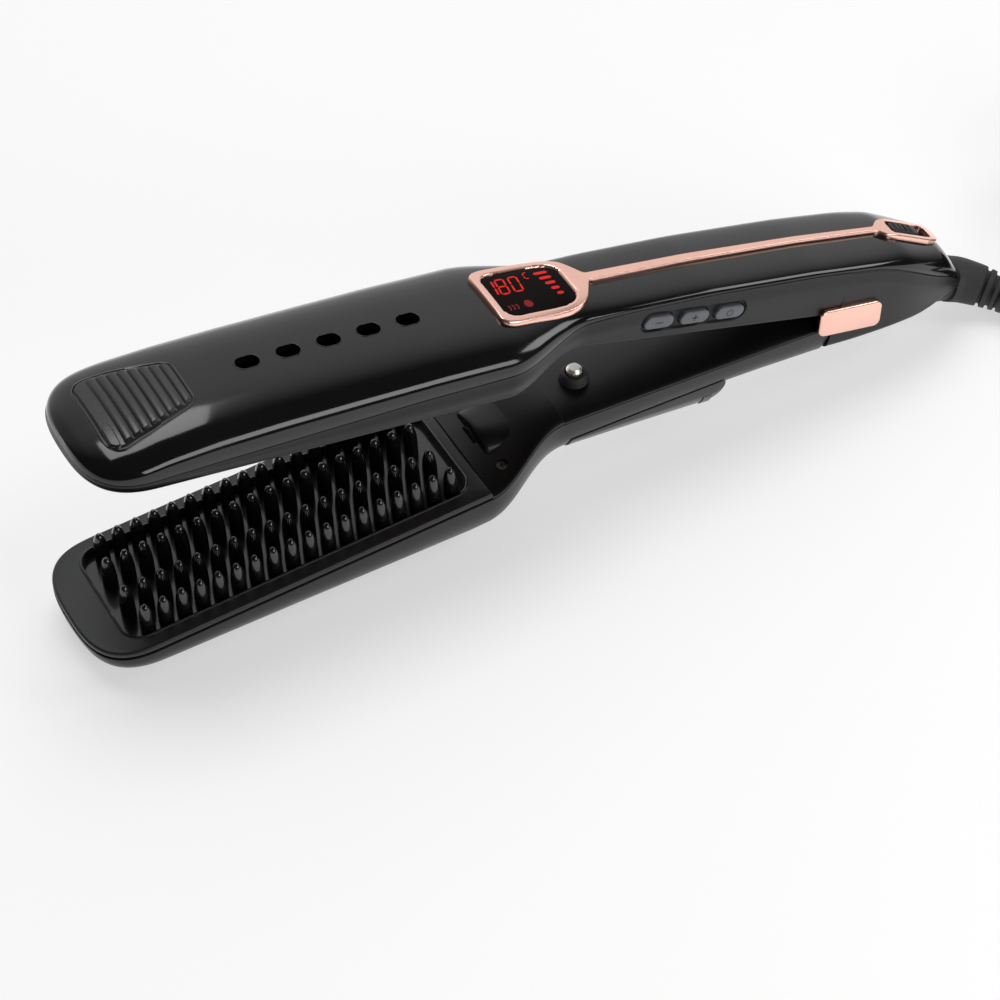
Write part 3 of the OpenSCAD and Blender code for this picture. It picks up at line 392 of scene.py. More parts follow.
def outward(mesh, angle=32.0):
    """Merges doubles, turns every face outwards, and marks the edges that stay sharp."""
    work = bmesh.new()
    work.from_mesh(mesh)
    bmesh.ops.remove_doubles(work, verts=work.verts, dist=2e-7)
    bmesh.ops.dissolve_degenerate(work, edges=work.edges, dist=1e-7)
    bmesh.ops.recalc_face_normals(work, faces=work.faces)
    work.to_mesh(mesh)
    work.free()
    mesh.shade_smooth()
    mesh.set_sharp_from_angle(angle=math.radians(angle))


made, finishes = {}, {}


def piece(name, part, body, finish, replaces=(), angle=32.0, cutters=(), marks=None):
    """Makes one named piece from (points, faces), carves it, gives its finish, and puts it on its body."""
    mesh = mesh_of(name, *part)
    # marks: a share of painted shade for each point, kept as a point attribute for the finish.
    if marks is not None:
        layer = mesh.attributes.new("painted_shade", "FLOAT", "POINT")
        layer.data.foreach_set("value", np.asarray(marks, np.float32))
    outward(mesh, angle)
    obj = bpy.data.objects.new(name, mesh)
    bpy.context.scene.collection.objects.link(obj)
    if cutters:
        carve(obj, cutters, angle)
    obj.data.materials.append(finishes[finish])
    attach(obj, body)
    if replaces:
        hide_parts(*replaces)
    made[name] = len(obj.data.polygons)
    return obj


def carve(obj, cutters, angle=32.0):
    """Takes solids away from a piece with Boolean modifiers and keeps the result as its mesh."""
    blocks = []
    for part in cutters:
        mesh = mesh_of("cutter", *part)
        outward(mesh)
        block = bpy.data.objects.new("cutter", mesh)
        bpy.context.scene.collection.objects.link(block)
        modifier = obj.modifiers.new("cut", "BOOLEAN")
        modifier.operation, modifier.solver, modifier.object = "DIFFERENCE", "EXACT", block
        blocks.append(block)
    bpy.context.view_layer.update()
    done = bpy.data.meshes.new_from_object(obj.evaluated_get(bpy.context.evaluated_depsgraph_get()))
    obj.modifiers.clear()
    old, obj.data = obj.data, done
    bpy.data.meshes.remove(old)
    for block in blocks:
        bpy.data.objects.remove(block)
    done.shade_smooth()
    done.set_sharp_from_angle(angle=math.radians(angle))


print("pieces so far", len(made))


# %% Outlines and plates
def rounded_rect(length, width, radius, n=10):
    """Outline of a rounded rectangle: four quarter circles in order, (x, y) pairs."""
    a = np.linspace(0, np.pi / 2, n)
    corner = np.stack([np.cos(a), np.sin(a)], -1) * radius
    turns = [np.array([[math.cos(k), -math.sin(k)], [math.sin(k), math.cos(k)]])
             for k in np.arange(4) * math.pi / 2]
    centre = np.array([length / 2 - radius, width / 2 - radius])
    signs = [(1, 1), (-1, 1), (-1, -1), (1, -1)]
    return np.concatenate([corner @ t.T + centre * s for t, s in zip(turns, signs)])


def plate(outline, low, high, soft=0.0, n=5):
    """A flat solid with the given outline; its top edge is rounded by moving rings inwards on a circle."""
    centre = (outline.max(0) + outline.min(0)) / 2
    half = (outline.max(0) - outline.min(0)) / 2
    a = np.linspace(0, np.pi / 2, n) if soft else np.array([0.0])
    rings = [(0.0, low)] + [(soft * (1 - math.cos(t)), high - soft + soft * math.sin(t)) for t in a]
    layers = [np.column_stack([(outline - centre) * (1 - d / half) + centre, np.full(len(outline), z)])
              for d, z in rings]
    return tube(np.array(layers))


print("a rounded rectangle has", len(rounded_rect(10, 6, 2)), "points")

# %% [markdown]
# ## Shared finishes
# Moulded plastic is never perfectly even. It has a fine grain from the mould, and hands leave dull
# patches on it. Each effect is one node group with named sockets, so every plastic can use it with
# its own values, and the shader itself stays in the material.

# %% Groups
def new_group(name, inputs, outputs):
    """An empty shader group with float inputs (name, value) and float or colour outputs (name, kind)."""
    group = bpy.data.node_groups.new(name, "ShaderNodeTree")
    for label, value in inputs:
        socket = group.interface.new_socket(name=label, in_out="INPUT", socket_type="NodeSocketFloat")
        socket.default_value = value
    for label, kind in outputs:
        group.interface.new_socket(name=label, in_out="OUTPUT", socket_type="NodeSocket" + kind)
    return group, group.nodes.new("NodeGroupInput"), group.nodes.new("NodeGroupOutput")


print("group helper ready")


# %% Fine grain
def grain_group():
    """Height = depth x noise(position x cells per metre): the even texture of a spark-eroded mould."""
    group, take, give = new_group("fine_grain", [("Cells", 2500.0), ("Depth", 0.2)], [("Height", "Float")])
    place = add(group, "TexCoord").outputs["Object"]
    noise = add(group, "TexNoise", Vector=place, Scale=take.outputs["Cells"], Detail=2.0, Roughness=0.6)
    height = add(group, "Math", noise.outputs["Fac"], take.outputs["Depth"], operation="MULTIPLY")
    feed(give, Height=height.outputs[0])
    return group


fine_grain = grain_group()
print("group", fine_grain.name)

# %% Handling marks
def marks_group():
    """Roughness = base + smear x (broad soft patches + fine streaks along the arm)."""
    group, take, give = new_group(
        "handling_marks", [("Base", 0.2), ("Smear", 0.1), ("Patches", 45.0)],
        [("Roughness", "Float"), ("Mask", "Float")])
    place = add(group, "TexCoord").outputs["Object"]
    broad = add(group, "TexNoise", Vector=place, Scale=take.outputs["Patches"], Detail=3.0, Roughness=0.55)
    stretch = add(group, "Mapping", Vector=place, Scale=(60, 900, 900))
    streaks = add(group, "TexNoise", Vector=stretch.outputs["Vector"], Scale=1.0, Detail=2.0)
    soft = add(group, "MapRange", interpolation_type="SMOOTHSTEP", Value=broad.outputs["Fac"],
               From_Min=0.42, From_Max=0.72).outputs["Result"]
    both = add(group, "Math", streaks.outputs["Fac"], 0.35, soft, operation="MULTIPLY_ADD")
    total = add(group, "Math", both.outputs[0], take.outputs["Smear"], take.outputs["Base"],
                operation="MULTIPLY_ADD")
    feed(give, Roughness=total.outputs[0], Mask=soft)
    return group


handling_marks = marks_group()
print("group", handling_marks.name)

# %% [markdown]
# A finish is then one Principled shader with its own colour, fed by the two groups: the marks set the
# roughness and tint the colour a little, and the grain goes through a Bump node to the normal.

# %% Finishes
GRAIN_DEPTH = 0.00012


def finish_of(name, levels, rough, smear=0.06, cells=2500.0, depth=0.1, metal=0.0, coat=0.0,
              worn=0.15, painted_shade=False, patches=45.0, glow=None, glow_level=0.0, shine=0.5):
    """A plastic, rubber, metal or glass: colour x (1 - worn x mask), roughness and grain from the groups.

    The colour's levels are in thousandths, and shine is the specular level. Where a piece's own
    point attribute asks for it, painted shade darkens the colour in the recess, and the surface gets duller.
    """
    colour = tuple(v / 1000 for v in levels)
    material = bpy.data.materials.new(name)
    material.use_nodes = True
    tree = material.node_tree
    shader = feed(tree.nodes["Principled BSDF"], Metallic=metal, Coat_Weight=coat, Coat_Roughness=0.04,
                  Specular_IOR_Level=shine)
    marks = add(tree, "Group", node_tree=handling_marks, Base=rough, Smear=smear, Patches=patches)
    mask, rough_out = marks.outputs["Mask"], marks.outputs["Roughness"]
    dusty = [c * (1 - worn) + 0.012 * worn for c in colour]
    colour_out = blend(tree, mask, (*colour, 1), (*dusty, 1))
    # Painted shade: where the point attribute is high, the colour falls to near black and the roughness
    # rises.
    if painted_shade:
        shade_share = add(tree, "Attribute", attribute_name="painted_shade").outputs["Fac"]
        colour_out = blend(tree, shade_share, colour_out, (0.0015, 0.0015, 0.0015, 1))
        rough_out = add(tree, "Math", shade_share, 0.6, rough_out, operation="MULTIPLY_ADD").outputs[0]
    grain = add(tree, "Group", node_tree=fine_grain, Cells=cells, Depth=1.0)
    bump = add(tree, "Bump", Strength=depth, Distance=GRAIN_DEPTH, Height=grain.outputs["Height"])
    feed(shader, Base_Color=colour_out, Roughness=rough_out, Normal=bump.outputs["Normal"])
    if glow:
        light = blend(tree, mask, (*glow, 1), (*[c * 0.7 for c in glow], 1))
        feed(shader, Emission_Color=light, Emission_Strength=glow_level)
    material.diffuse_color = (*colour, 1)
    finishes[name] = material
    return material


finish_of("gloss_black", (3, 3, 3), 0.08, 0.05, 900, 0.03, coat=0.15, shine=0.35)
# The satin black paints shade into the recesses that a piece marks with its point attribute.
finish_of("satin_black", (5, 5, 6), 0.30, 0.07, 3200, 0.2, painted_shade=True, shine=0.25)
finish_of("lower_black", (6, 6, 7), 0.28, 0.08, 3000, 0.2, shine=0.35)
finish_of("cover_black", (6, 6, 6), 0.30, 0.06, 2600, 0.15, shine=0.3)
finish_of("frame_black", (13, 14, 15), 0.36, 0.06, 3400, 0.25, shine=0.35)
finish_of("matte_black", (16, 16, 16), 0.55, 0.10, 2800, 0.5)
finish_of("tooth_black", (5, 5, 5), 0.14, 0.05, 1500, 0.06, coat=0.3)
finish_of("tank_black", (12, 12, 13), 0.24, 0.08, 1800, 0.12)
finish_of("grip_black", (10, 10, 10), 0.26, 0.08, 3000, 0.15)
finish_of("rose_satin", (830, 500, 415), 0.24, 0.03, 2600, 0.05, metal=1.0, worn=0.05)
finish_of("smoked_glass", (4, 2, 2), 0.05, 0.03, 700, 0.02, shine=0.03)
finish_of("red_light", (200, 5, 3), 0.4, 0.02, 900, 0.02,
          glow=(1.0, 0.02, 0.01), glow_level=0.55, patches=900, shine=0.1)
finish_of("red_dim", (90, 4, 3), 0.4, 0.02, 900, 0.02,
          glow=(1.0, 0.05, 0.06), glow_level=0.14, patches=900, shine=0.1)
finish_of("button_face", (105, 110, 122), 0.38, 0.08, 3500, 0.25)
finish_of("button_print", (32, 33, 37), 0.45, 0.05, 2500, 0.1)
finish_of("bristle_amber", (560, 215, 70), 0.42, 0.10, 1500, 0.2, worn=0.45, patches=260)
# The red lenses glow by emission as painted light: the infrared lights behind them are off.
finish_of("lens_red", (420, 14, 8), 0.10, 0.04, 800, 0.03, coat=0.6,
          glow=(1.0, 0.03, 0.015), glow_level=0.7)
finish_of("board_green", (20, 90, 45), 0.35, 0.10, 600, 0.3, worn=0.5, patches=500)
finish_of("inner_ivory", (520, 500, 440), 0.5, 0.08, 1500, 0.2)
finish_of("zinc_steel", (560, 560, 570), 0.28, 0.10, 1500, 0.12, metal=1.0)
finish_of("cast_aluminium", (640, 640, 650), 0.42, 0.12, 900, 0.5, metal=1.0)
finish_of("chrome", (760, 750, 730), 0.12, 0.08, 1200, 0.05, metal=1.0)
finish_of("pale_silver", (780, 755, 700), 0.36, 0.06, 1500, 0.05, metal=1.0)
finish_of("cord_black", (14, 14, 14), 0.42, 0.10, 1800, 0.3)
finish_of("tie_rubber", (60, 60, 62), 0.6, 0.10, 1800, 0.5)
finish_of("plug_black", (14, 14, 15), 0.38, 0.08, 2600, 0.35)
print(len(finishes), "finishes")

# %% [markdown]
# ## Floor
# The floor is pale and catches a soft shadow. The camera sees a darker base with an even light added,
# so the shadow stays faint and the floor runs into the white behind it. Mirrors see that light too.

# %% Floor
def floor_finish():
    """Colour = near-white, or mid-grey for camera rays; camera and mirror rays also see an emission."""
    material = bpy.data.materials.new("floor_white")
    material.use_nodes = True
    tree = material.node_tree
    shader = feed(tree.nodes["Principled BSDF"], Roughness=0.7, Specular_IOR_Level=0.1, Emission_Strength=1.0)
    noise = add(tree, "TexNoise", Scale=6.0)
    tint = blend(tree, noise.outputs["Fac"], (0.88, 0.88, 0.88, 1), (0.90, 0.90, 0.90, 1))
    ray = add(tree, "LightPath").outputs
    seen_by = ray["Is Camera Ray"]
    base = blend(tree, seen_by, tint, (0.5, 0.5, 0.5, 1))
    for other in ("Is Glossy Ray", "Is Transmission Ray"):
        seen_by = add(tree, "Math", seen_by, ray[other], operation="MAXIMUM").outputs[0]
    light = blend(tree, seen_by, (0, 0, 0, 1), (0.52, 0.52, 0.52, 1))
    feed(shader, Base_Color=base, Emission_Color=light)
    return material


floor_points = np.array([[-3, -3, 0], [4, -3, 0], [4, 4, 0], [-3, 4, 0]], float) - [0, 0, 0.0004]
floor = bpy.data.objects.new("floor", mesh_of("floor", floor_points, [np.array([[0, 1, 2, 3]])]))
floor.data.materials.append(floor_finish())
bpy.context.scene.collection.objects.link(floor)
print("floor", floor.name)

# %% [markdown]
# ## Cord
# The mains lead is 6 mm thick. It leaves the rubber relief on the tail, settles on the floor in one
# soft bend, and the length that is put away is wound into a round coil behind the brush, two turns
# wide and five high. A tube along one list of ring centres keeps its thickness all the way.

# %% Lead and end of the cord
CORD_D = 6.0
RELIEF_PATH = [[257, -2, 10.3], [262.5, -6.5, 9], [267.5, -12.5, 7.8], [271.5, -19.5, 6.7], [274.5, -27, 5.7]]
COIL, COIL_R, TIE_T = np.array([336.0, -10.0]), 30.0, 0.8
OUTER = COIL_R + CORD_D / 2
LEAD_R, LEAD_X, LEAD_Z = 25.0, 297.8, 3.05
END_R, END_RUN, END_TURN = 30.0, 34.0, math.radians(40)
PLUG_L, PLUG_W, PLUG_MID_Z = 34.0, 26.0, 7.0
PLUG_NECK, NECK_Z = 24.0, 12.6
RELIEF_Z = 14.8


def lead_route():
    """A bend of radius 25 on the floor that ends along X, then a straight run to the lowest outer turn."""
    a = np.radians([-57.5, -46, -34.5, -23, -11.5, 0])
    middle = [LEAD_X, COIL[1] - OUTER + LEAD_R]
    heights = [5, 4.3, 3.75, 3.35, 3.12, LEAD_Z]
    bend = np.column_stack([middle[0] + LEAD_R * np.sin(a), middle[1] - LEAD_R * np.cos(a), heights])
    t = np.linspace(0, 1, 5)[1:]
    rise = mix(LEAD_Z, CORD_D / 2 + TIE_T, smooth(t))
    run = np.column_stack([mix(middle[0], COIL[0], t), np.full(4, COIL[1] - OUTER), rise])
    return np.vstack([RELIEF_PATH[-1], bend, run])


def end_route(n=10):
    """The end leaves the top outer turn 40 degrees past -Y, bends back to X, and sinks to the plug."""
    out = np.array([math.sin(END_TURN), -math.cos(END_TURN)])
    middle = COIL + (OUTER + END_R) * out
    a = np.linspace(END_TURN, 0, n)
    bend = middle + END_R * np.column_stack([-np.sin(a), np.cos(a)])
    straight = np.linspace(0, END_RUN, n + 1)[1:]
    run = bend[-1] + np.column_stack([straight, np.zeros(n)])
    s = np.concatenate([END_R * (a[0] - a), END_R * a[0] + straight])
    t, fall = s / s[-1], (PLUG_MID_Z - NECK_Z) / PLUG_NECK
    top_turn = 4.5 * CORD_D + TIE_T
    z = mix(top_turn, NECK_Z, smooth(t)) + (t ** 3 - t ** 2) * fall * s[-1]
    return np.column_stack([np.vstack([bend, run]), z])


print("lead of", len(lead_route()), "points, end of", len(end_route()), "points")

# %% [markdown]
# In the coil every turn lies in a slot beside or above the last. Once a turn the cord steps to the
# next slot on an S-curve a third of a turn long. Each step starts a little sooner than the one below
# it, so the steps lie beside each other, and the last two, which cross, ride up over each other.

# %% Turns of the coil
FIRST_STEP, STEP_EVERY, STEP_LONG = 0.67, 0.925, 0.32
SLOTS = np.array([(1, 0), (0, 0), (0, 1), (1, 1), (1, 2), (0, 2), (0, 3), (1, 3), (0, 4), (1, 4)], float)


def coil_route(n=27):
    """Angle runs 9.11 turns; the slot number is a sum of S-curves, one for each step to the next slot."""
    angle = np.radians(np.linspace(-90, 3190, int(9.11 * n)))
    turn = (np.degrees(angle) + 90) / 360
    k = np.arange(1, 10)
    t = np.clip((turn[:, None] - FIRST_STEP - STEP_EVERY * (k - 1)) / STEP_LONG, 0, 1)
    slot = smooth(t).sum(1)
    low = np.clip(np.floor(slot), 0, 8).astype(int)
    where = SLOTS[low] + (slot - low)[:, None] * (SLOTS[low + 1] - SLOTS[low])
    ride = np.sin(np.pi * t) ** 2 @ np.where(k == 9, 4.0, np.where(k == 8, 2.0, 0.0))
    r = COIL_R - CORD_D / 2 + CORD_D * where[:, 0]
    z = TIE_T + CORD_D / 2 + CORD_D * where[:, 1] + ride
    return np.column_stack([COIL[0] + r * np.cos(angle), COIL[1] + r * np.sin(angle), z])


def softened(points, n, passes=3):
    """n points at even arc steps along a broken line, then averaged with their neighbours a few times."""
    p = np.array(points, float)
    s = np.concatenate([[0], np.cumsum(np.linalg.norm(np.diff(p, axis=0), axis=1))])
    t = np.linspace(0, s[-1], n)
    q = np.stack([np.interp(t, s, p[:, k]) for k in range(3)], -1)
    for _ in range(passes):
        q[1:-1] = (q[:-2] + 2 * q[1:-1] + q[2:]) / 4
    return q


route = np.concatenate([softened(lead_route(), 24, 2)[:-1], coil_route()[:-1], end_route()])

# %% [markdown]
# Each ring stands square to the path: its first axis is level, the second is square to that and to
# the path. The lead never runs straight up, so the level axis always exists.

# %% Tubes along a path
def rings_along(path, radius, sides=12):
    """Rings around a path: centre + r (cos a x level axis + sin a x the axis square to both)."""
    path = np.asarray(path, float)
    ahead = np.gradient(path, axis=0)
    ahead /= np.linalg.norm(ahead, axis=1)[:, None]
    level = np.cross([0, 0, 1], ahead)
    level /= np.linalg.norm(level, axis=1)[:, None]
    up = np.cross(ahead, level)
    a = circle(sides)
    r = np.broadcast_to(np.asarray(radius, float), (len(path),))[:, None, None]
    return path[:, None] + r * (np.cos(a)[:, None] * level[:, None] + np.sin(a)[:, None] * up[:, None])


def real(part):
    """Millimetres of the standing frame to metres."""
    return part[0] / 1000.0, part[1]


cord = piece("cord_lead", real(tube(rings_along(route, CORD_D / 2))), "upper_arm",
             "cord_black", replaces=("cord", "cord_coil"), angle=50)
print("cord faces", made["cord_lead"])

# %% [markdown]
# The relief is a tapered rubber sleeve. Its collar is smooth; the rest is cut into rings, which let
# it bend. The groove is written straight into the radius along the path.

# %% Strain relief
exit_point = stand([TAIL, 0, RELIEF_Z], "upper") * 1000
relief_line = softened(np.vstack([exit_point, RELIEF_PATH]), 151, 60)
along = np.linspace(0, 1, len(relief_line))
relief_r = np.interp(along, [0, 0.12, 0.35, 0.6, 0.8, 0.96, 1], [8, 7.95, 7.3, 6.2, 5.3, 4.3, 4.1])
wave = (along - 0.36) / 0.62 * 7
groove = smooth((0.22 - np.abs(wave - np.floor(wave) - 0.5)) / 0.08) * ((wave > 0) & (wave < 7))
relief_r = relief_r - 1.1 * groove
relief_r[-3:] -= [0.0, 0.2, 0.6]
relief_rings = rings_along(relief_line, relief_r, 40)
slope = LIFT["upper"]
face = np.array([math.cos(slope), 0, -math.sin(slope)])
lean = (relief_rings - exit_point) @ face
relief_rings -= np.minimum(lean, 0)[..., None] * face
root = moved(turned([(6.9, -9.8), (7.5, -9.2), (7.5, 0.6)], 40), (TAIL, 0, RELIEF_Z), axis="X")
piece("relief_sleeve", together(real(tube(relief_rings)), placed(root, "upper")), "upper_arm",
      "matte_black", replaces=("strain_relief",), angle=40)
print("relief faces", made["relief_sleeve"])

# %% [markdown]
# The tie is a soft strap round the whole coil at one place. The plug is the flat round-cornered kind
# with two pins, and a ribbed neck that the cord runs into.

# %% Cord tie
STRAP_AT = np.array([math.cos(math.radians(60)), math.sin(math.radians(60))])


def strap_ring(grow):
    """Outline of the coil's section, grown: (distance from the coil's middle, height)."""
    outline = rounded_rect(12 + 2 * grow, 30 + 2 * grow, 3 + grow, 8)
    return outline + [COIL_R, TIE_T + 15]


def strap():
    """Rings of the strap's own small section, carried round the outline, 60 degrees round the coil."""
    inner, outer = strap_ring(0.2), strap_ring(0.78)
    across = np.array([-3.0, -2.7, 2.7, 3.0])
    share = np.array([0.25, 1.0, 1.0, 0.25])
    rows = [np.column_stack([mix(inner, outer, s), np.full(len(inner), w)]) for w, s in zip(across, share)]
    rows += [np.column_stack([inner, np.full(len(inner), w)]) for w in across[::-1]]
    rings = np.stack(rows, 1)
    c, s = STRAP_AT
    x = COIL[0] + rings[..., 0] * c - rings[..., 2] * s
    y = COIL[1] + rings[..., 0] * s + rings[..., 2] * c
    return np.stack([x, y, rings[..., 1]], -1)


stud = turned([(2.2, 0), (2.2, 0.3), (1.9, 0.6), (0.2, 0.7)], 20)
strap_top = np.append(COIL + COIL_R * STRAP_AT, 30.8)
tie = piece("coil_strap", real(together(loop_tube(strap()), (stud[0] + strap_top, stud[1]))),
            "upper_arm", "tie_rubber", replaces=("cord_tie",))
print("tie faces", made["coil_strap"])

# %% Plug
PLUG_ROOT = route[-1]


def plug_body():
    """Slices of a rounded block: a superellipse of exponent 5 sets how far each slice draws in."""
    z = PLUG_MID_Z - PLUG_MID_Z * np.cos(np.linspace(0, np.pi, 25))
    v = np.abs(z - PLUG_MID_Z) / PLUG_MID_Z
    shrink = 1 - 3.2 * (1 - (1 - v ** 5) ** (1 / 5)) / (PLUG_W / 2)
    outline = rounded_rect(PLUG_L, PLUG_W, 6, 12)
    rings = np.array([np.column_stack([outline * k, np.full(len(outline), h)]) for h, k in zip(z, shrink)])
    ribs = 0.35 * (np.abs(((rings[..., 0] + 100) % 3.0) - 1.5) < 0.55) * (np.abs(rings[..., 0]) < 10)
    rings[..., 1] -= np.sign(rings[..., 1]) * ribs * (np.abs(rings[..., 1]) > 12.0)
    return tube(rings + [PLUG_ROOT[0] + PLUG_NECK + PLUG_L / 2, PLUG_ROOT[1], 0])


neck_t = np.linspace(0, 1, 67)
neck_r = 3.5 + 2.2 * neck_t
neck_r -= 0.7 * smooth((0.25 - np.abs((neck_t * 6) % 1 - 0.5)) / 0.1) * (neck_t > 0.05) * (neck_t < 0.85)
down = math.atan2(PLUG_MID_Z - PLUG_ROOT[2], PLUG_NECK)
neck_path = PLUG_ROOT + np.outer(26 * neck_t - 1, [math.cos(down), 0, math.sin(down)])
plug_solid = real(together(plug_body(), tube(rings_along(neck_path, neck_r, 32))))
plug = piece("mains_plug", plug_solid, "upper_arm", "plug_black",
             replaces=("plug",), angle=40)

print("plug and tie in place")

# %% [markdown]
# ## Glossy shell
# The top of the upper arm is one glossy skin with five vent holes along its crown. Each cross-section
# is a superellipse. The holes are cut through it, and a thin bead round each one catches the light as
# the real moulded rim does. The rubber sleeve of the cord comes out of a round bore in the tail.

# %% Sections of both arms
def section(dense=0):
    """Half outline of a shell as (share of the width, share of the height), near side first."""
    v = np.linspace(0, 0.8176, 15)
    u = np.concatenate([np.linspace(0.72, 0.14, 10)[1:], np.linspace(0.14, 0, dense + 1)[1:]])
    half = np.concatenate([np.column_stack([crown(v), v]), np.column_stack([u, crown(u)])])
    return np.concatenate([half, (half * [-1, 1])[-2::-1]])


def drawn_in(x, end, r=1.6):
    """How far a section shrinks near an end that is rounded with radius r."""
    gap = np.clip(np.abs(end - x), 0, r)
    return r - np.sqrt(r * r - (r - gap) ** 2)


WALL = 2.4


def shell_rings(xs, width, low, high, lip=0.3):
    """Outer superellipse, then the inner one in reverse; low and high may lie either way round."""
    s = section(3)
    way = np.sign(high[0] - low[0])
    y = -s[None, :, 0] * width[:, None]
    z = low[:, None] + (high - low)[:, None] * s[None, :, 1]
    y[:, [0, -1]] += np.array([lip, -lip]) * np.minimum(width, 1)[:, None]
    z[:, [1, -2]] = (low + way * 0.25)[:, None]
    y[:, [1, -2]] = np.array([-1, 1]) * width[:, None]
    t = section()[::-3]
    inner_w = np.maximum(width - WALL, 0.75 * width)
    inner_h = np.where(np.abs(high - low) > WALL + 0.4, high - way * WALL, low + way * 0.3)
    ends = (np.arange(len(xs)) == 0) | (np.arange(len(xs)) == len(xs) - 1)
    inner_h = np.where(ends, low + way * 0.02, inner_h)
    yi = -t[None, :, 0] * inner_w[:, None]
    zi = low[:, None] + (inner_h - low)[:, None] * t[None, :, 1]
    return stations(xs, np.concatenate([y, yi], 1), np.concatenate([z, zi], 1))


print("a section has", len(section(3)), "points")

# %% Upper shell
VENTS = NECK_A - 25.7 - 13.5 * np.arange(5)
tip_steps = 10 * np.linspace(0, 1, 24) ** 2.2
shell_x = np.unique(np.concatenate([
    TIP + tip_steps, np.arange(TIP + 11, -226, 1.1), np.arange(-226, -159, 0.8),
    np.arange(-159, TAIL - 2, 1.1), TAIL - 2 + 2 * eased(8)]))
inset = drawn_in(shell_x, TAIL)
rings = shell_rings(shell_x, GLOSS_SHARE * half_w(shell_x) - inset, gloss(shell_x), ridge(shell_x) - inset)
VENT = rounded_rect(7.6, 5.0, 2.49, 12)
holes = [plate(VENT + [x, 0], float(ridge(x)) - 5, float(ridge(x)) + 5) for x in VENTS]
sleeve_bore = moved(turned([(7.6, 0), (7.6, 20)], 48), (TAIL - 10, 0, RELIEF_Z), axis="X")
piece("gloss_shell", placed(tube(rings), "upper"), "upper_arm", "gloss_black",
      replaces=("upper_shell",), cutters=[placed(c, "upper") for c in holes + [sleeve_bore]])


def vent_rim(x, wide=0.42):
    """A thin bead round one vent: a half-round section carried along the pill, level with the skin."""
    out = VENT - np.clip(VENT, [-1.3, 0], [1.3, 0])
    out = out / np.linalg.norm(out, axis=1)[:, None]
    a = np.linspace(0, np.pi, 7)
    grow, up = wide / 2 * (1 + np.cos(a)), 0.22 * np.sin(a)
    grow, up = np.append(grow, [0.0, wide]), np.append(up, [-0.8, -0.8])
    p = VENT[:, None] + out[:, None] * grow[:, None] + [x, 0]
    return np.concatenate([p, (skin(p[..., 0], p[..., 1]) + up - 0.03)[..., None]], -1)


rims = together(*[placed(loop_tube(vent_rim(x)), "upper") for x in VENTS])
piece("vent_rims", rims, "upper_arm", "gloss_black")
print("shell grid", rings.shape[:2])

# %% [markdown]
# ## Satin housing
# Under the shell sits a satin tray: the side band of the upper arm. Its floor drops behind the hinge,
# where it becomes the tail. The key pocket on its near side is pressed into the grid.

# %% Upper housing
def pill_gap(x, z, length, width, middle):
    """Signed distance to a pill on the near side; the row of keys falls towards the tail."""
    tilt = math.atan(KEY_FALL)
    a, b = x - middle[0], z - middle[1]
    u = a * math.cos(tilt) - b * math.sin(tilt)
    w = a * math.sin(tilt) + b * math.cos(tilt)
    return np.hypot(np.clip(np.abs(u) - (length - width) / 2, 0, None), w) - width / 2


KEYS = [(-67 + 14 * k, 36.6 - 14 * KEY_FALL * k) for k in (-1, 0, 1)]
house_x = np.unique(np.concatenate([
    TIP + tip_steps, np.arange(TIP + 11, -91, 1.3), np.arange(-91, -43, 0.3), np.arange(-43, -5.2, 1.3),
    [-5.2, -5.0, -4.85, -4.6], np.arange(-4, TAIL - 2, 1.3), TAIL - 2 + 2 * eased(8)]))
behind = house_x > -4.95
inset = drawn_in(house_x, TAIL)
top = gloss(house_x)
base = np.where(behind, tail_floor(np.clip(house_x, -5, TAIL)), edge(house_x)) + inset
width = half_w(house_x) - inset
corner = np.minimum(np.where(behind, 2.4, 1.2), (top - base) / 2.2)


def tray_side(count):
    """Half widths and heights down one side from the top edge to the floor, one row per station."""
    t = np.concatenate([[0, 0.02], np.linspace(0.04, 1, count)])
    fall = (top - base - corner)[:, None] * t
    bulge = 0.97 + 0.03 * smooth(fall / 5.6) - 0.015 * smooth((t - 0.4) / 0.6)
    side_y, side_z = width[:, None] * bulge, top[:, None] - fall
    side_y[:, 0] -= 0.3 * np.minimum(width, 1)
    a = np.linspace(0, np.pi / 2, 7)[1:]
    turn_y = width[:, None] * 0.985 - corner[:, None] * (1 - np.cos(a))
    turn_z = (base + corner)[:, None] - corner[:, None] * np.sin(a)
    return np.concatenate([side_y, turn_y], 1), np.concatenate([side_z, turn_z], 1)


near_y, near_z = tray_side(56)
far_y, far_z = tray_side(14)
floor_y = near_y[:, -1:] * np.linspace(1, -1, 9)[1:-1]
x_near = np.broadcast_to(house_x[:, None], near_y.shape)
pocket = smooth(-pill_gap(x_near, near_z, 41.8, 8.2, KEYS[1]) / 0.5)
well = np.max([smooth(-pill_gap(x_near, near_z, 11.8, 5.4, k) / 0.35) for k in KEYS], 0)
near_y = mix(near_y, np.minimum(near_y, 14.6), pocket)
near_y = mix(near_y, np.minimum(near_y, 11.2), well)
inner_top = np.stack([top, base + 2.2, base + 2.2, top], 1)
inner_top[:, 1:3] = np.minimum(inner_top[:, 1:3], (top - 0.3)[:, None])
inner_w = np.maximum(width - 2.2, 0.75 * width)
inner_y = np.stack([inner_w, inner_w, -inner_w, -inner_w], 1)
inner_top[[0, -1], 1:3] = (top - 0.02)[[0, -1], None]
y = np.concatenate([-near_y, -floor_y, far_y[:, ::-1], inner_y], 1)
z = np.concatenate([near_z, np.repeat(base[:, None], floor_y.shape[1], 1), far_z[:, ::-1], inner_top], 1)
rings = stations(house_x, y, z)
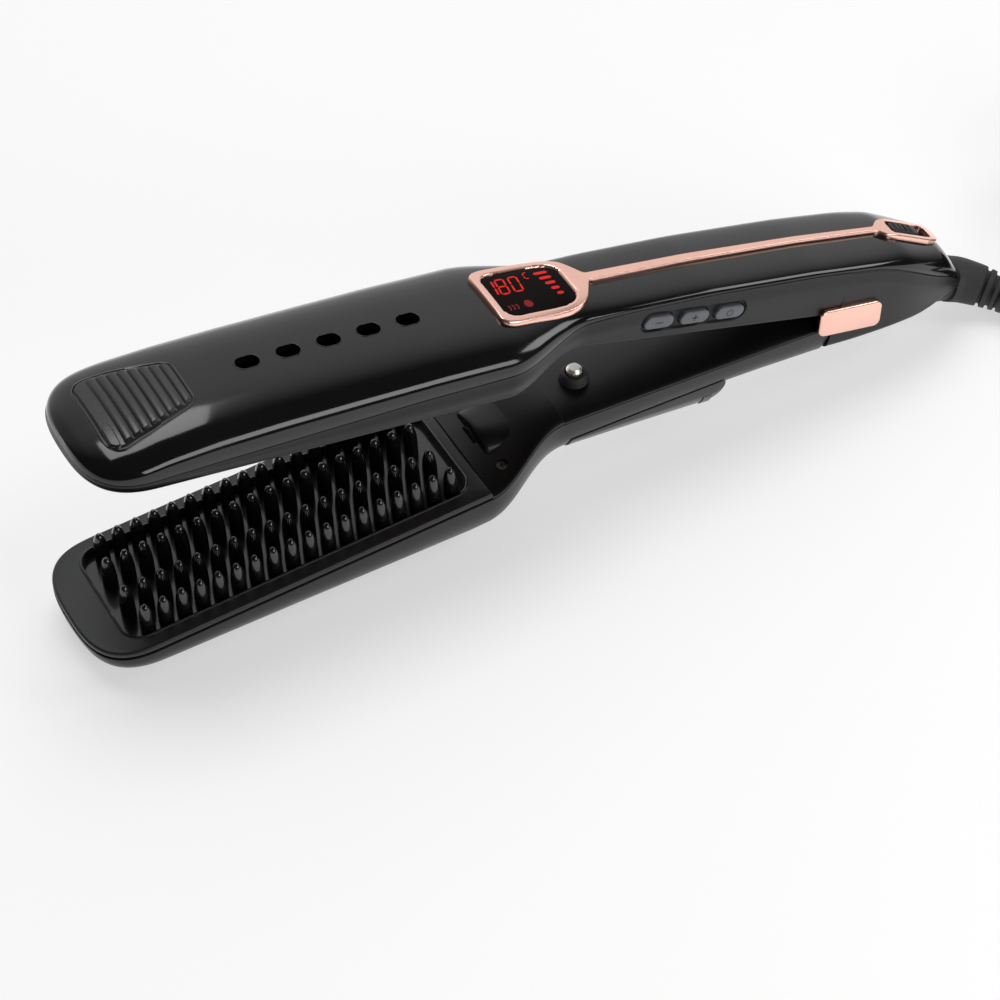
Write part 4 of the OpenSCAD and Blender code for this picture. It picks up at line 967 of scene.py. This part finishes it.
# Painted shade: the key wells get 0.9 and the rest of the pocket 0.35 of the darkening in the satin finish.
painted_shade = np.zeros(rings.shape[:2])
painted_shade[:, :near_y.shape[1]] = np.maximum(0.9 * well, 0.35 * pocket)
MOUTH_A, MOUTH_B = -260.45, -144.5
mouth = plate(rounded_rect(MOUTH_B - MOUTH_A, 39.2, 7, 8) + [(MOUTH_A + MOUTH_B) / 2, 0], 10, 40)
hinge_gap = plate(rounded_rect(6.8, 26.2, 0.3, 3) + [-7.6, 0], 0, 30)
piece("satin_tray", placed(tube(rings), "upper"), "upper_arm", "satin_black",
      replaces=("upper_housing",), marks=painted_shade.ravel(),
      cutters=[placed(c, "upper") for c in (mouth, hinge_gap, sleeve_bore)])
print("housing grid", rings.shape[:2])

# %% [markdown]
# ## Pieces that lie on the shell
# The grip pad, the rose gold trim, the display and the lock button all follow the curved skin. Each
# is a sheet over a piece of plan: its height over the skin is a function of the plan point, and its
# underside sinks into the shell.

# %% Sheets on the skin
def sheet_on_skin(xs, half, height, down, columns):
    """Rows at xs, columns over the width half(x); top = skin + height(x, y), bottom = skin - down."""
    v = np.linspace(-1, 1, columns)
    y = half(xs)[:, None] * v
    x = np.broadcast_to(xs[:, None], y.shape)
    low_y = half(xs)[:, None] * np.linspace(1, -1, 7)
    low_x = np.broadcast_to(xs[:, None], low_y.shape)
    z = np.concatenate([skin(x, y) + height(x, y), skin(low_x, low_y) - down], 1)
    return placed(tube(stations(xs, np.concatenate([y, low_y], 1), z)), "upper")


def rim(gap, r):
    """Share of full height near an edge that is rounded with radius r."""
    t = np.clip(gap / r, 0, 1)
    return np.sqrt(np.clip(1 - (1 - t) ** 2, 0, 1))


def inside(x, y, half, x0, x1):
    """About how far a plan point lies inside the outline y = half(x) between x0 and x1; negative outside."""
    return np.minimum(half(x) - np.abs(y), np.minimum(x - x0, x1 - x))


print("rim share half way in", round(float(rim(0.5, 1.0)), 3))

# %% Tip grip
grip_half = line([(TIP + 7, 9.5), (TIP + 7.7, 13), (TIP + 9.5, 15.4), (TIP + 12, 16.2), (TIP + 20, 14.6),
                  (TIP + 33, 11.0), (TIP + 35.6, 9.6), (TIP + 37, 6.8)], 1.2)
BARE = np.array([TIP + 9.6, -13.4]), np.array([TIP + 9.6, -6.4])


def grip_height(x, y):
    """0.4 mm plate with a rounded rim and a groove inside it; eight round bars follow the pad's width."""
    gap = inside(x, y, grip_half, TIP + 7, TIP + 37)
    plate_up = 0.4 * rim(gap, 0.4) - 0.45 * smooth(1 - np.abs(gap - 1.15) / 0.45)
    k = (x - (TIP + 12.2)) / 2.95
    round_bar = np.sqrt(np.clip(1 - ((k - np.floor(k) - 0.5) / 0.46) ** 2, 0, 1)) * (k > 0) * (k < 8)
    along = np.clip(y, BARE[0][1], BARE[1][1])
    lug = smooth((1.5 - np.hypot(x - BARE[0][0], y - along)) / 0.4)
    return plate_up + 0.75 * round_bar * smooth((gap - 1.9) / 0.5) + 0.45 * lug


grip_x = np.linspace(TIP + 7, TIP + 37, 241)
piece("grip_pad", sheet_on_skin(grip_x, grip_half, grip_height, 0.8, 81), "upper_arm",
      "grip_black", replaces=("tip_grip",), angle=60)
print("grip faces", made["grip_pad"])

# %% Rose gold trim
TRIM_A, TRIM_B = NECK_A + 1, 43.0
trim_half = line([(NECK_A + 1, 9.5), (NECK_A + 1.6, 11.2), (NECK_A + 3.2, 12.4), (NECK_A + 6, 13),
                  (NECK_A + 21, 13), (NECK_A + 26, 12.6), (NECK_A + 30, 11.6), (NECK_A + 33.5, 9.2),
                  (NECK_A + 36.2, 5), (NECK_A + 38, 2), (14, 1.3), (17, 4.2), (21, 5), (36, 5),
                  (40, 4.2), (43, 1.6)], 1.6)
GLASS_A, GLASS_B = NECK_A + 4, NECK_A + 31
glass_half = line([(GLASS_A, 7), (NECK_A + 4.6, 8.6), (NECK_A + 6.4, 9.7), (NECK_A + 9, 10),
                   (NECK_A + 21, 10), (NECK_A + 25, 9.7), (NECK_A + 28.6, 8.7), (NECK_A + 30.3, 7.2),
                   (GLASS_B, 5)], 1.2)


def slot_gap(x, y):
    """How far a point lies inside the rounded slot of the lock button."""
    a, b = np.abs(x - 29) - 7.6, np.abs(y) - 1.6
    return 1.4 - np.hypot(np.clip(a, 0, None), np.clip(b, 0, None)) + np.clip(-np.maximum(a, b), 0, None)


def trim_height(x, y):
    """1.6 mm proud with a rounded rim; a bevel falls to the glass, and the lock's slot sinks to nothing."""
    h = 1.6 * rim(inside(x, y, trim_half, TRIM_A, TRIM_B), 0.55)
    into = inside(x, y, glass_half, GLASS_A, GLASS_B)
    h = h - 0.45 * np.clip(1 + into / 0.9, 0, 1)
    h = mix(h, 0.2, smooth(into / 0.35 + 0.5))
    return mix(h, -1.2, smooth(slot_gap(x, y) / 0.3 + 0.5))


trim_x = np.concatenate([TRIM_A + 1.6 * np.linspace(0, 1, 9) ** 1.5, np.linspace(TRIM_A + 2, -101, 92),
                         np.arange(-100, 13, 1.5), np.linspace(13, TRIM_B, 100)])
piece("rose_trim", sheet_on_skin(trim_x, trim_half, trim_height, 1.4, 85), "upper_arm",
      "rose_satin", replaces=("trim_inlay",), angle=50)
print("trim faces", made["rose_trim"])

# %% [markdown]
# The display is dark glass with red signs behind it: the temperature in seven-segment digits, a
# falling row of bars, and two small signs for steam and heat. Each sign is a thin tile just over the
# glass that glows.

# %% Display glass
glass_x = np.linspace(GLASS_A, GLASS_B, 80)


def glass_height(x, y):
    """0.9 mm over the skin, with a rounded rim."""
    return 0.9 * rim(inside(x, y, glass_half, GLASS_A, GLASS_B), 0.3)


piece("display_glass", sheet_on_skin(glass_x, glass_half, glass_height, 1.2, 45), "upper_arm",
      "smoked_glass", replaces=("display_window",))

print("glass faces", made["display_glass"])


# %% Display signs
def tiles(outlines, low=0.85, high=0.94):
    """Thin tiles of any outline on the display: their rings lie at skin + low and skin + high."""
    parts = []
    for outline in outlines:
        o = np.array(outline, float)
        ground = skin(o[:, 0], o[:, 1])
        layers = [np.column_stack([o, ground + h]) for h in (low, high)]
        parts.append(placed(tube(np.array(layers)), "upper"))
    return together(*parts)


def bar(x0, y0, x1, y1, thick, lean=0.13):
    """A bar with pointed ends from one point to another, leaned like the digits."""
    a, b = np.array([x0 + lean * y0, y0]), np.array([x1 + lean * y1, y1])
    d = (b - a) / np.linalg.norm(b - a)
    n = np.array([-d[1], d[0]]) * thick / 2
    return [a, a + d * thick / 2 - n, b - d * thick / 2 - n, b, b - d * thick / 2 + n, a + d * thick / 2 + n]


def digit(x, y, segments, w=3.0, h=6.8, thick=0.62):
    """Seven segments named a to g, as on any counter."""
    g = 0.16
    ends = {"a": (g, h, w - g, h), "b": (w, h - g, w, h / 2 + g), "c": (w, h / 2 - g, w, g),
            "d": (g, 0, w - g, 0), "e": (0, h / 2 - g, 0, g), "f": (0, h - g, 0, h / 2 + g),
            "g": (g, h / 2, w - g, h / 2)}
    return [bar(x + p[0], y + p[1], x + p[2], y + p[3], thick) for p in (ends[s] for s in segments)]


signs = digit(-136.6, 0.2, "bc") + digit(-132.4, 0.2, "abcdefg") + digit(-127.6, 0.2, "abcdef")
signs += digit(-121.8, 4.9, "adef", w=1.5, h=2.9, thick=0.45)
for k in range(5):
    y0 = 6.3 - 2.6 * k
    signs.append(bar(-117.6 + 0.66 * k, y0, -112.4, y0, 1.25, lean=0.0))
piece("display_digits", tiles(signs), "upper_arm", "red_light")
steam_sign = [bar(*ends, 0.5, lean=0.0) for x in (-133.6, -132.2, -130.8)
              for ends in ((x, -7.4, x + 0.6, -6.2), (x + 0.6, -6.2, x, -5.0))]
drop = [(-126.4 + 1.5 * math.cos(a), -6.1 + 1.25 * math.sin(a) * (1 if math.sin(a) < 0 else 1.5))
        for a in np.linspace(0, 2 * math.pi, 20, endpoint=False)]
piece("display_signs", tiles(steam_sign + [drop]), "upper_arm", "red_dim")
print("sign faces", made["display_digits"] + made["display_signs"])

# %% [markdown]
# ## Lock button, keys and hinge plates
# The lock button slides in its slot. The three keys sit in the pocket on the near side, each on its
# own body, with its sign printed on it. Rose gold plates cover the ends of the hinge pin.

# %% Lock button
lock_half = line([(20.6, 1.3), (21.1, 2.1), (22, 2.55), (32.2, 2.55), (33.1, 2.1), (33.6, 1.3)], 0.5)


def lock_height(x, y):
    """1.8 mm proud with a rounded rim, and four ribs across it."""
    gap = inside(x, y, lock_half, 20.6, 33.6)
    k = (x - 22.4) / 2.3
    rib = smooth((0.28 - np.abs(k - np.floor(k) - 0.35)) / 0.12) * (k > 0) * (k < 4)
    return 1.8 * rim(gap, 0.6) + 0.6 * rib * smooth((gap - 0.5) / 0.4)


lock_x = np.linspace(20.6, 33.6, 70)
piece("lock_button", sheet_on_skin(lock_x, lock_half, lock_height, 0.5, 25), "lock",
      "matte_black", replaces=("lock_slider",), angle=60)
print("lock faces", made["lock_button"])


# %% Keys
def on_side(part, place, tilt=0.0, axis="-Y"):
    """A solid drawn about +Z, put on the side of the closed upper arm, in metres."""
    return placed(moved(part, place, tilt, axis), "upper")


def arc_bar(r0, r1, a0, a1, low, high, n=24):
    """Part of a flat ring between two angles: its four-cornered section turned about Z."""
    a = np.radians(np.linspace(a0, a1, n))
    corners = np.array([(r0, low), (r1, low), (r1, high), (r0, high)])
    rings = np.stack([corners[:, 0] * np.cos(a)[:, None], corners[:, 0] * np.sin(a)[:, None],
                      np.broadcast_to(corners[:, 1], (n, 4))], -1)
    return tube(rings)


PRINT = (15.6, 16.04)
tilt = math.degrees(math.atan(KEY_FALL))
level_bar = plate(rounded_rect(2.7, 0.62, 0.2, 3), *PRINT)
cross_bar = plate(rounded_rect(0.62, 2.7, 0.2, 3), *PRINT)
short_bar = plate(rounded_rect(0.55, 1.5, 0.2, 3) + [0, 0.95], *PRINT)
prints = {"minus": level_bar, "plus": together(level_bar, cross_bar),
          "power": together(short_bar, arc_bar(0.95, 1.45, 125, 415, *PRINT))}
for (label, sign), (kx, kz) in zip(prints.items(), KEYS):
    cap = together(plate(rounded_rect(11.2, 4.8, 2.39, 10), 12.6, 16.0, 0.55, 6),
                   plate(rounded_rect(13.0, 6.6, 3.2, 10), 11.9, 12.8))
    piece(f"key_{label}", on_side(cap, (kx, 0, kz), tilt), f"{label}_key", "button_face",
          replaces=(f"button_{label}",))
    piece(f"print_{label}", on_side(sign, (kx, 0, kz), tilt), f"{label}_key", "button_print")
print("key faces", [made[f"key_{label}"] for label in prints])

# %% Hinge plates
for name, axis, side in (("near", "-Y", 1), ("far", "Y", -1)):
    upright = np.array([[1, 0], [-side * math.tan(LIFT["upper"]), 1]])
    cover = plate(rounded_rect(25.5, 11, 2.6, 12) @ upright, 15.5, 17.05, 0.7, 8)
    piece(f"hinge_plate_{name}", on_side(cover, (0, 0, PIN_Z), 0, axis), "upper_arm",
          "rose_satin", replaces=(f"hinge_panel_{name}",))
print("hinge plate faces", made["hinge_plate_near"])

# %% [markdown]
# ## Bristles and lenses
# Under the upper head two rows of bristle tufts stand between the teeth. A tuft is a fan of fine
# hairs that splay a little, each a thin four-sided rod with a light bend. The hairs of all tufts are
# computed as one array.

# %% Bristle tufts
PLATE_Z = float(seam(PLATE_MID))
TOOTH_X = (np.arange(18) - 8.5) * 6.2 + 0.9


def on_slope(part, height, arm):
    """A solid drawn on a level plate, put on the sloping one over the head's middle, at a height."""
    p, a = part[0], math.atan(PLATE_SLOPE)
    x = p[:, 0] * math.cos(a) - p[:, 2] * math.sin(a) + PLATE_MID
    z = p[:, 0] * math.sin(a) + p[:, 2] * math.cos(a) + height
    return placed((np.column_stack([x, p[:, 1], z]), part[1]), arm)


def tuft_hairs(count=26, sides=4):
    """Roots on a sunflower spiral of radius 1.1, ends on one of radius 2, so each hair leans outwards."""
    rng = np.random.default_rng(7)
    k = np.arange(count)
    around, out = k * 2.39996, np.sqrt((k + 0.5) / count)
    xs, ys = np.meshgrid(TOOTH_X[1:17] + 1.5, [-11.3, 11.3])
    base_point = np.stack([xs.ravel(), ys.ravel()], -1)[:, None]
    shape = (len(base_point), count)
    jitter = rng.normal(0, 0.09, shape + (2,))
    aim_at = np.stack([np.cos(around), np.sin(around)], -1) * out[:, None]
    drop = np.array([0.0, 0.45, 1.0])
    length = 9.3 - 0.5 * out[None] ** 2 + rng.normal(0, 0.1, shape)
    spread = 1.05 + 0.85 * drop ** 1.6
    centre = base_point[:, :, None] + aim_at[None, :, None] * spread[:, None]
    centre = centre + jitter[:, :, None] * drop[:, None]
    z = 0.4 - drop * np.minimum(length, 9.45)[..., None]
    middle = np.concatenate([centre, z[..., None]], -1)
    a = circle(sides)
    r = np.array([0.17, 0.16, 0.11])
    ring = np.stack([np.cos(a), np.sin(a), np.zeros(sides)], -1)
    points = middle[..., None, :] + r[:, None, None] * ring
    starts = np.arange(shape[0] * shape[1]) * len(drop) * sides
    return points.reshape(-1, 3), copied(tube(points[0, 0])[1], starts)


piece("bristle_hairs", on_slope(tuft_hairs(), PLATE_Z + 13.7, "upper"), "upper_arm",
      "bristle_amber", replaces=("bristle_tufts",), angle=70)
print("hair faces", made["bristle_hairs"])

# %% [markdown]
# ## Lower arm
# The lower arm is a deep shell that stands on its flat belly, with a raised frame round the teeth.
# The shell is the same superellipse as the upper one, turned upside down, and what would dip below
# the table is pressed flat.

# %% Lower shell
def down_to_table(points):
    """The lower arm's points in metres, with nothing below the table."""
    world = stand(points, "lower")
    world[..., 2] = np.maximum(world[..., 2], 0.0)
    return world


def end_plane(z):
    """Where the arm ends at height z: a plane 5.3 mm ahead of the pin, leaned by the opening angle."""
    a = math.radians(14)
    return (-5.3 + (z - PIN_Z) * math.sin(a)) / math.cos(a)


LOWER_TIP = TIP + 2
lower_x = np.unique(np.concatenate([LOWER_TIP + tip_steps, np.arange(LOWER_TIP + 11, -10.6, 1.2), [-8.0]]))
rings = shell_rings(lower_x, lower_w(lower_x), seam(lower_x), belly(lower_x), lip=0.4)
rings[-1, :, 0] = end_plane(rings[-1, :, 2])
points, faces = tube(rings)
tank_mouth = plate(rounded_rect(36, 19, 3, 8) + [-66, 0], -10, 20)
piece("belly_shell", (down_to_table(points), faces), "lower_arm", "lower_black",
      replaces=("lower_shell",), cutters=[placed(tank_mouth, "lower")])
print("belly grid", rings.shape[:2])

# %% [markdown]
# The frame is a ring between the head's outline and the opening for the teeth. For every point of the
# outline, the nearest point of the opening is known from its rounded rectangle, so one section can be
# carried round both at once. A dark joint stays open between the shell's rim and the frame. A thin
# glossy bead runs along the opening.

# %% Head frame
PLATE_L, PLATE_W, PLATE_R = 118.5, 19.6, 6.0
edge_x = LOWER_TIP + (137 - 2) * np.linspace(0, 1, 150) ** 1.7
near_line = np.column_stack([edge_x, -lower_w(edge_x)])
far_line = near_line[::-1] * [1, -1]
back_y = np.linspace(lower_w(NECK_A), -lower_w(NECK_A), 21)[1:-1]
back_line = np.column_stack([np.full(19, NECK_A), back_y])
outline = np.concatenate([near_line[::-1], far_line[::-1][1:], back_line])
span = np.array([PLATE_L / 2 - PLATE_R, PLATE_W - PLATE_R])
core = np.clip(outline, [PLATE_MID, 0] - span, [PLATE_MID, 0] + span)
away = outline - core
opening = core + away / np.linalg.norm(away, axis=1)[:, None] * PLATE_R
reach = np.linalg.norm(opening - outline, axis=1)[:, None]
arc = np.linspace(0, np.pi / 2, 6)
from_outside = [(0.8, 0.05), (0.8, 0.7), (0.15, 0.85)]
from_outside += [(1 - math.cos(t), 1.75 + 1.05 * math.sin(t)) for t in arc]
from_inside = [(1.0, 2.8), (0.8, 2.98), (0.35, 2.98), (0.02, 2.7), (0.0, 0.05)]


def carried(start, goal, steps):
    """One outline moved towards the other by each step's distance, at the seam + the step's height."""
    rows = [start + (goal - start) * (d / reach) for d, h in steps]
    return [np.column_stack([p, seam(p[:, 0]) + h]) for p, (d, h) in zip(rows, steps)]


rings = np.stack(carried(outline, opening, from_outside) + carried(opening, outline, from_inside), 1)
piece("head_rim", placed(loop_tube(rings), "lower"), "lower_arm", "frame_black",
      replaces=("head_frame",))
bead_a = circle(8)
inward = (outline - opening) / reach
bead = opening[:, None] + inward[:, None] * (0.45 + 0.35 * np.cos(bead_a))[:, None]
bead = np.concatenate([bead, (seam(bead[..., 0]) + 2.95 + 0.35 * np.sin(bead_a))[..., None]], -1)
piece("tooth_bead", placed(loop_tube(bead), "lower"), "lower_arm", "tooth_black")
print("rim grid", rings.shape[:2])

# %% [markdown]
# ## Teeth
# Four rows of eighteen teeth comb the hair. A tooth is a turned bullet: its radius at height h is
# 2.46 times the root of 1 - (h / 12.45)^3.2. One tooth is computed, and set down along its row.

# %% Tooth rows
TOOTH_H, TOOTH_R = 12.45, 2.46
tooth_profile = [(2.5, -0.3)] + [(0.02 + TOOTH_R * (1 - (h / TOOTH_H) ** 3.2) ** 0.5, h)
                                 for h in (TOOTH_H - 0.05) * eased(13)]
tooth = turned(tooth_profile, 18)
for k, (row_y, shift) in enumerate([(-16.3, 0), (-6.4, 2.1), (6.4, 2.1), (16.3, 0)], 1):
    spots = np.column_stack([TOOTH_X - shift, np.full(18, row_y), np.zeros(18)])
    piece(f"teeth_{k}", on_slope(repeated(tooth, spots), PLATE_Z, "lower"), "lower_arm",
          "tooth_black", replaces=(f"tooth_row_{k}",), angle=50)
print("faces in a row of teeth", made["teeth_1"])

# %% [markdown]
# ## Neck and handle of the lower arm
# A low lid with two sunk screws closes the neck. A hump sinks from the steam nozzle's face to the
# lid's rear edge. A second lid closes the handle, and a round boss stands on it, about the pump's
# plunger. Both lids are the top of the same superellipse.

# %% Lids
def lid_rings(xs, rise, lip=0.25):
    """A slab between the seam and a low superellipse crown, with a flat underside."""
    s = section(2)
    w = lower_w(xs)
    y = -s[None, :, 0] * w[:, None]
    z = seam(xs)[:, None] + rise * s[None, :, 1]
    y[:, [0, -1]] += [lip, -lip]
    under = np.linspace(0.9, -0.9, 6)
    yu = under * w[:, None]
    zu = np.repeat((seam(xs) + 0.03)[:, None], 6, 1)
    return stations(xs, np.concatenate([y, yu], 1), np.concatenate([z, zu], 1))


NOZZLE_X, HUMP_Z, SCREW = NECK_A + 6, 18.8, (NECK_A + 8, 16.5)
NECK_LID, HANDLE_LID = 2.4, 1.8
neck_lid_x = np.concatenate([[NECK_A + 0.05, NECK_A + 0.25], np.linspace(NECK_A + 1, NECK_B - 1, 34),
                             [NECK_B - 0.3, NECK_B - 0.08]])
rings = lid_rings(neck_lid_x, NECK_LID)
rings[[0, -1], :, 2] -= 0.2 * (rings[[0, -1], :, 2] > seam(neck_lid_x[[0, -1]])[:, None] + 1)
screw_top = float(seam(SCREW[0]) + NECK_LID * crown(SCREW[1] / lower_w(SCREW[0]))) - 0.2
sinks = [moved(turned([(1.95, screw_top - 1.0), (1.95, 40)], 28), (SCREW[0], side * SCREW[1], 0))
         for side in (-1, 1)]
bore = moved(turned([(5.06, -1), (5.06, 17)], 40), (NOZZLE_X, 0, HUMP_Z), axis="X")
piece("neck_lid", placed(tube(rings), "lower"), "lower_arm", "cover_black",
      replaces=("neck_cover",), cutters=[placed(c, "lower") for c in sinks + [bore]])

HUMP_L = 25.0
hump_x = NOZZLE_X + np.concatenate([[0, 0.1, 0.35, 0.8], np.linspace(1.5, HUMP_L, 24)])
hump_t = (hump_x - NOZZLE_X) / HUMP_L
soft_edge = drawn_in(hump_x, NOZZLE_X, 1.0)
hump_a = np.linspace(0, np.pi, 41)
hump_base = seam(hump_x) + 0.6
hump_top = mix(26.6, seam(hump_x) + 2.2, smooth(hump_t) ** 1.3) - soft_edge
hump_w = mix(10.2, 11.5, hump_t) - soft_edge
ys = -hump_w[:, None] * np.sign(np.cos(hump_a)) * np.abs(np.cos(hump_a)) ** 0.85
zs = hump_base[:, None] + (hump_top - hump_base)[:, None] * np.sin(hump_a) ** 0.85
piece("nozzle_hump", placed(tube(stations(hump_x, ys, zs)), "lower"), "lower_arm",
      "cover_black", cutters=[placed(bore, "lower")], angle=50)

BUSH_X = NECK_B + 12
handle_x = np.concatenate([[NECK_B + 0.08, NECK_B + 0.3], np.arange(NECK_B + 1, -7, 1.3), [-5.6]])
rings = lid_rings(handle_x, HANDLE_LID)
rings[-1, :, 0] = end_plane(rings[-1, :, 2])
well = moved(turned([(4.56, 10), (4.56, 60)], 40), (BUSH_X, 0, 0))
piece("handle_lid", placed(tube(rings), "lower"), "lower_arm", "cover_black",
      replaces=("handle_cover",), cutters=[placed(well, "lower")])
boss = [(2.95, 0), (2.95, 2.9), (3.3, 3.1), (4.0, 2.9), (4.45, 2.2), (4.5, 1.2), (5.0, 0)]
rings = np.swapaxes(turned(boss, 44)[0].reshape(len(boss), 44, 3), 0, 1)
rings = rings + [BUSH_X, 0, float(seam(BUSH_X)) + 2.5]
piece("plunger_boss", placed(loop_tube(rings), "lower"), "lower_arm", "matte_black")
print("lids in place")

# %% [markdown]
# ## Water tank
# The tank hangs under the handle like a slipper and slides off its seat. Its trough is the part of
# the handle's own section between 26 and 154 degrees, pushed out more and more towards its tab.

# %% Tank
TANK_A, TANK_B, TANK_END = -105.0, -46.5, 5.5


def tank_drop(x):
    """How far the trough hangs below the belly: 1 mm at its front end, and 8.3 mm at its tab."""
    return 1 + 7.3 * (x - TANK_A) / (TANK_B - TANK_A)


def trough_section(x, angles, drop):
    """Points of a handle section pushed down to belly - drop; angles run round the underside."""
    c, s = np.cos(angles), np.sin(angles)
    w = lower_w(x) + 0.25
    y = w[:, None] * np.sign(c) * np.abs(c) ** 0.75
    z = seam(x)[:, None] + (belly(x) - drop - seam(x))[:, None] * s ** 0.75
    return y, z


tank_x = np.unique(np.concatenate([
    TANK_A + eased(5), np.linspace(TANK_A + 1.5, TANK_B - TANK_END, 56),
    TANK_B - TANK_END + TANK_END * eased(16)]))
drop = np.maximum(tank_drop(tank_x) - 0.95 * drawn_in(tank_x, TANK_B, TANK_END), 0.32)
angles = np.radians(np.linspace(26, 154, 57))
outer_y, outer_z = trough_section(tank_x, angles, drop)
inner_y, inner_z = trough_section(tank_x, angles[::-4], np.full_like(tank_x, 0.3))
rings = stations(tank_x, np.concatenate([outer_y, inner_y], 1), np.concatenate([outer_z, inner_z], 1))
tank_box = plate(rounded_rect(35.4, 18.4, 2.7, 8) + [-66, 0], 8.2, 20, 0.8)
piece("tank_trough", placed(together(tube(rings), tank_box), "lower"), "tank", "tank_black",
      replaces=("water_tank",))
tab_x = np.linspace(-54.6, -51.4, 9)
tab_a = np.radians(np.linspace(30, 52, 9))
out_y, out_z = trough_section(tab_x, tab_a, tank_drop(tab_x) + 0.25)
in_y, in_z = trough_section(tab_x, tab_a[::-1], tank_drop(tab_x) - 0.5)
tab = stations(tab_x, np.concatenate([out_y + 0.3, in_y], 1), np.concatenate([out_z, in_z], 1))
both_tabs = together(tube(tab), tube(tab[::-1] * [1, -1, 1]))
# The tabs take the light grey of the keys: a painted highlight on the facet at the tank's end.
piece("tank_tabs", placed(both_tabs, "lower"), "tank", "button_face")
print("tank faces", made["tank_trough"], "and", made["tank_tabs"])

# %% [markdown]
# ## Finishes of the CAD pieces that stay
# Pieces whose solid is already right, such as screws, the nozzle and everything inside, keep their
# CAD mesh and only get a finish.

# %% Finishes for CAD nodes
keep = {"tooth_black": ["tooth_plate", "bristle_plate"],
        "lens_red": ["ir_lens_1", "ir_lens_2", "ir_lens_3"],
        "board_green": ["ir_board", "control_board", "switch_board"],
        "matte_black": ["display_module", "cord_clamp", "steam_nozzle", "neck_screws", "plunger_bush",
                        "lower_hinge", "tank_plug"],
        "zinc_steel": ["hinge_pin", "hinge_spring", "pump_spring"],
        "chrome": ["plug_pins"], "pale_silver": ["pump_plunger"],
        "cast_aluminium": ["heater_plate", "steam_chamber"],
        "inner_ivory": ["thermal_fuse", "pump_body", "water_tube_in", "water_tube_out"]}
for finish, names in keep.items():
    for name in names:
        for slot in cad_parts[name].material_slots:
            slot.material = finishes[finish]
print(len(made), "pieces,", sum(made.values()), "faces")
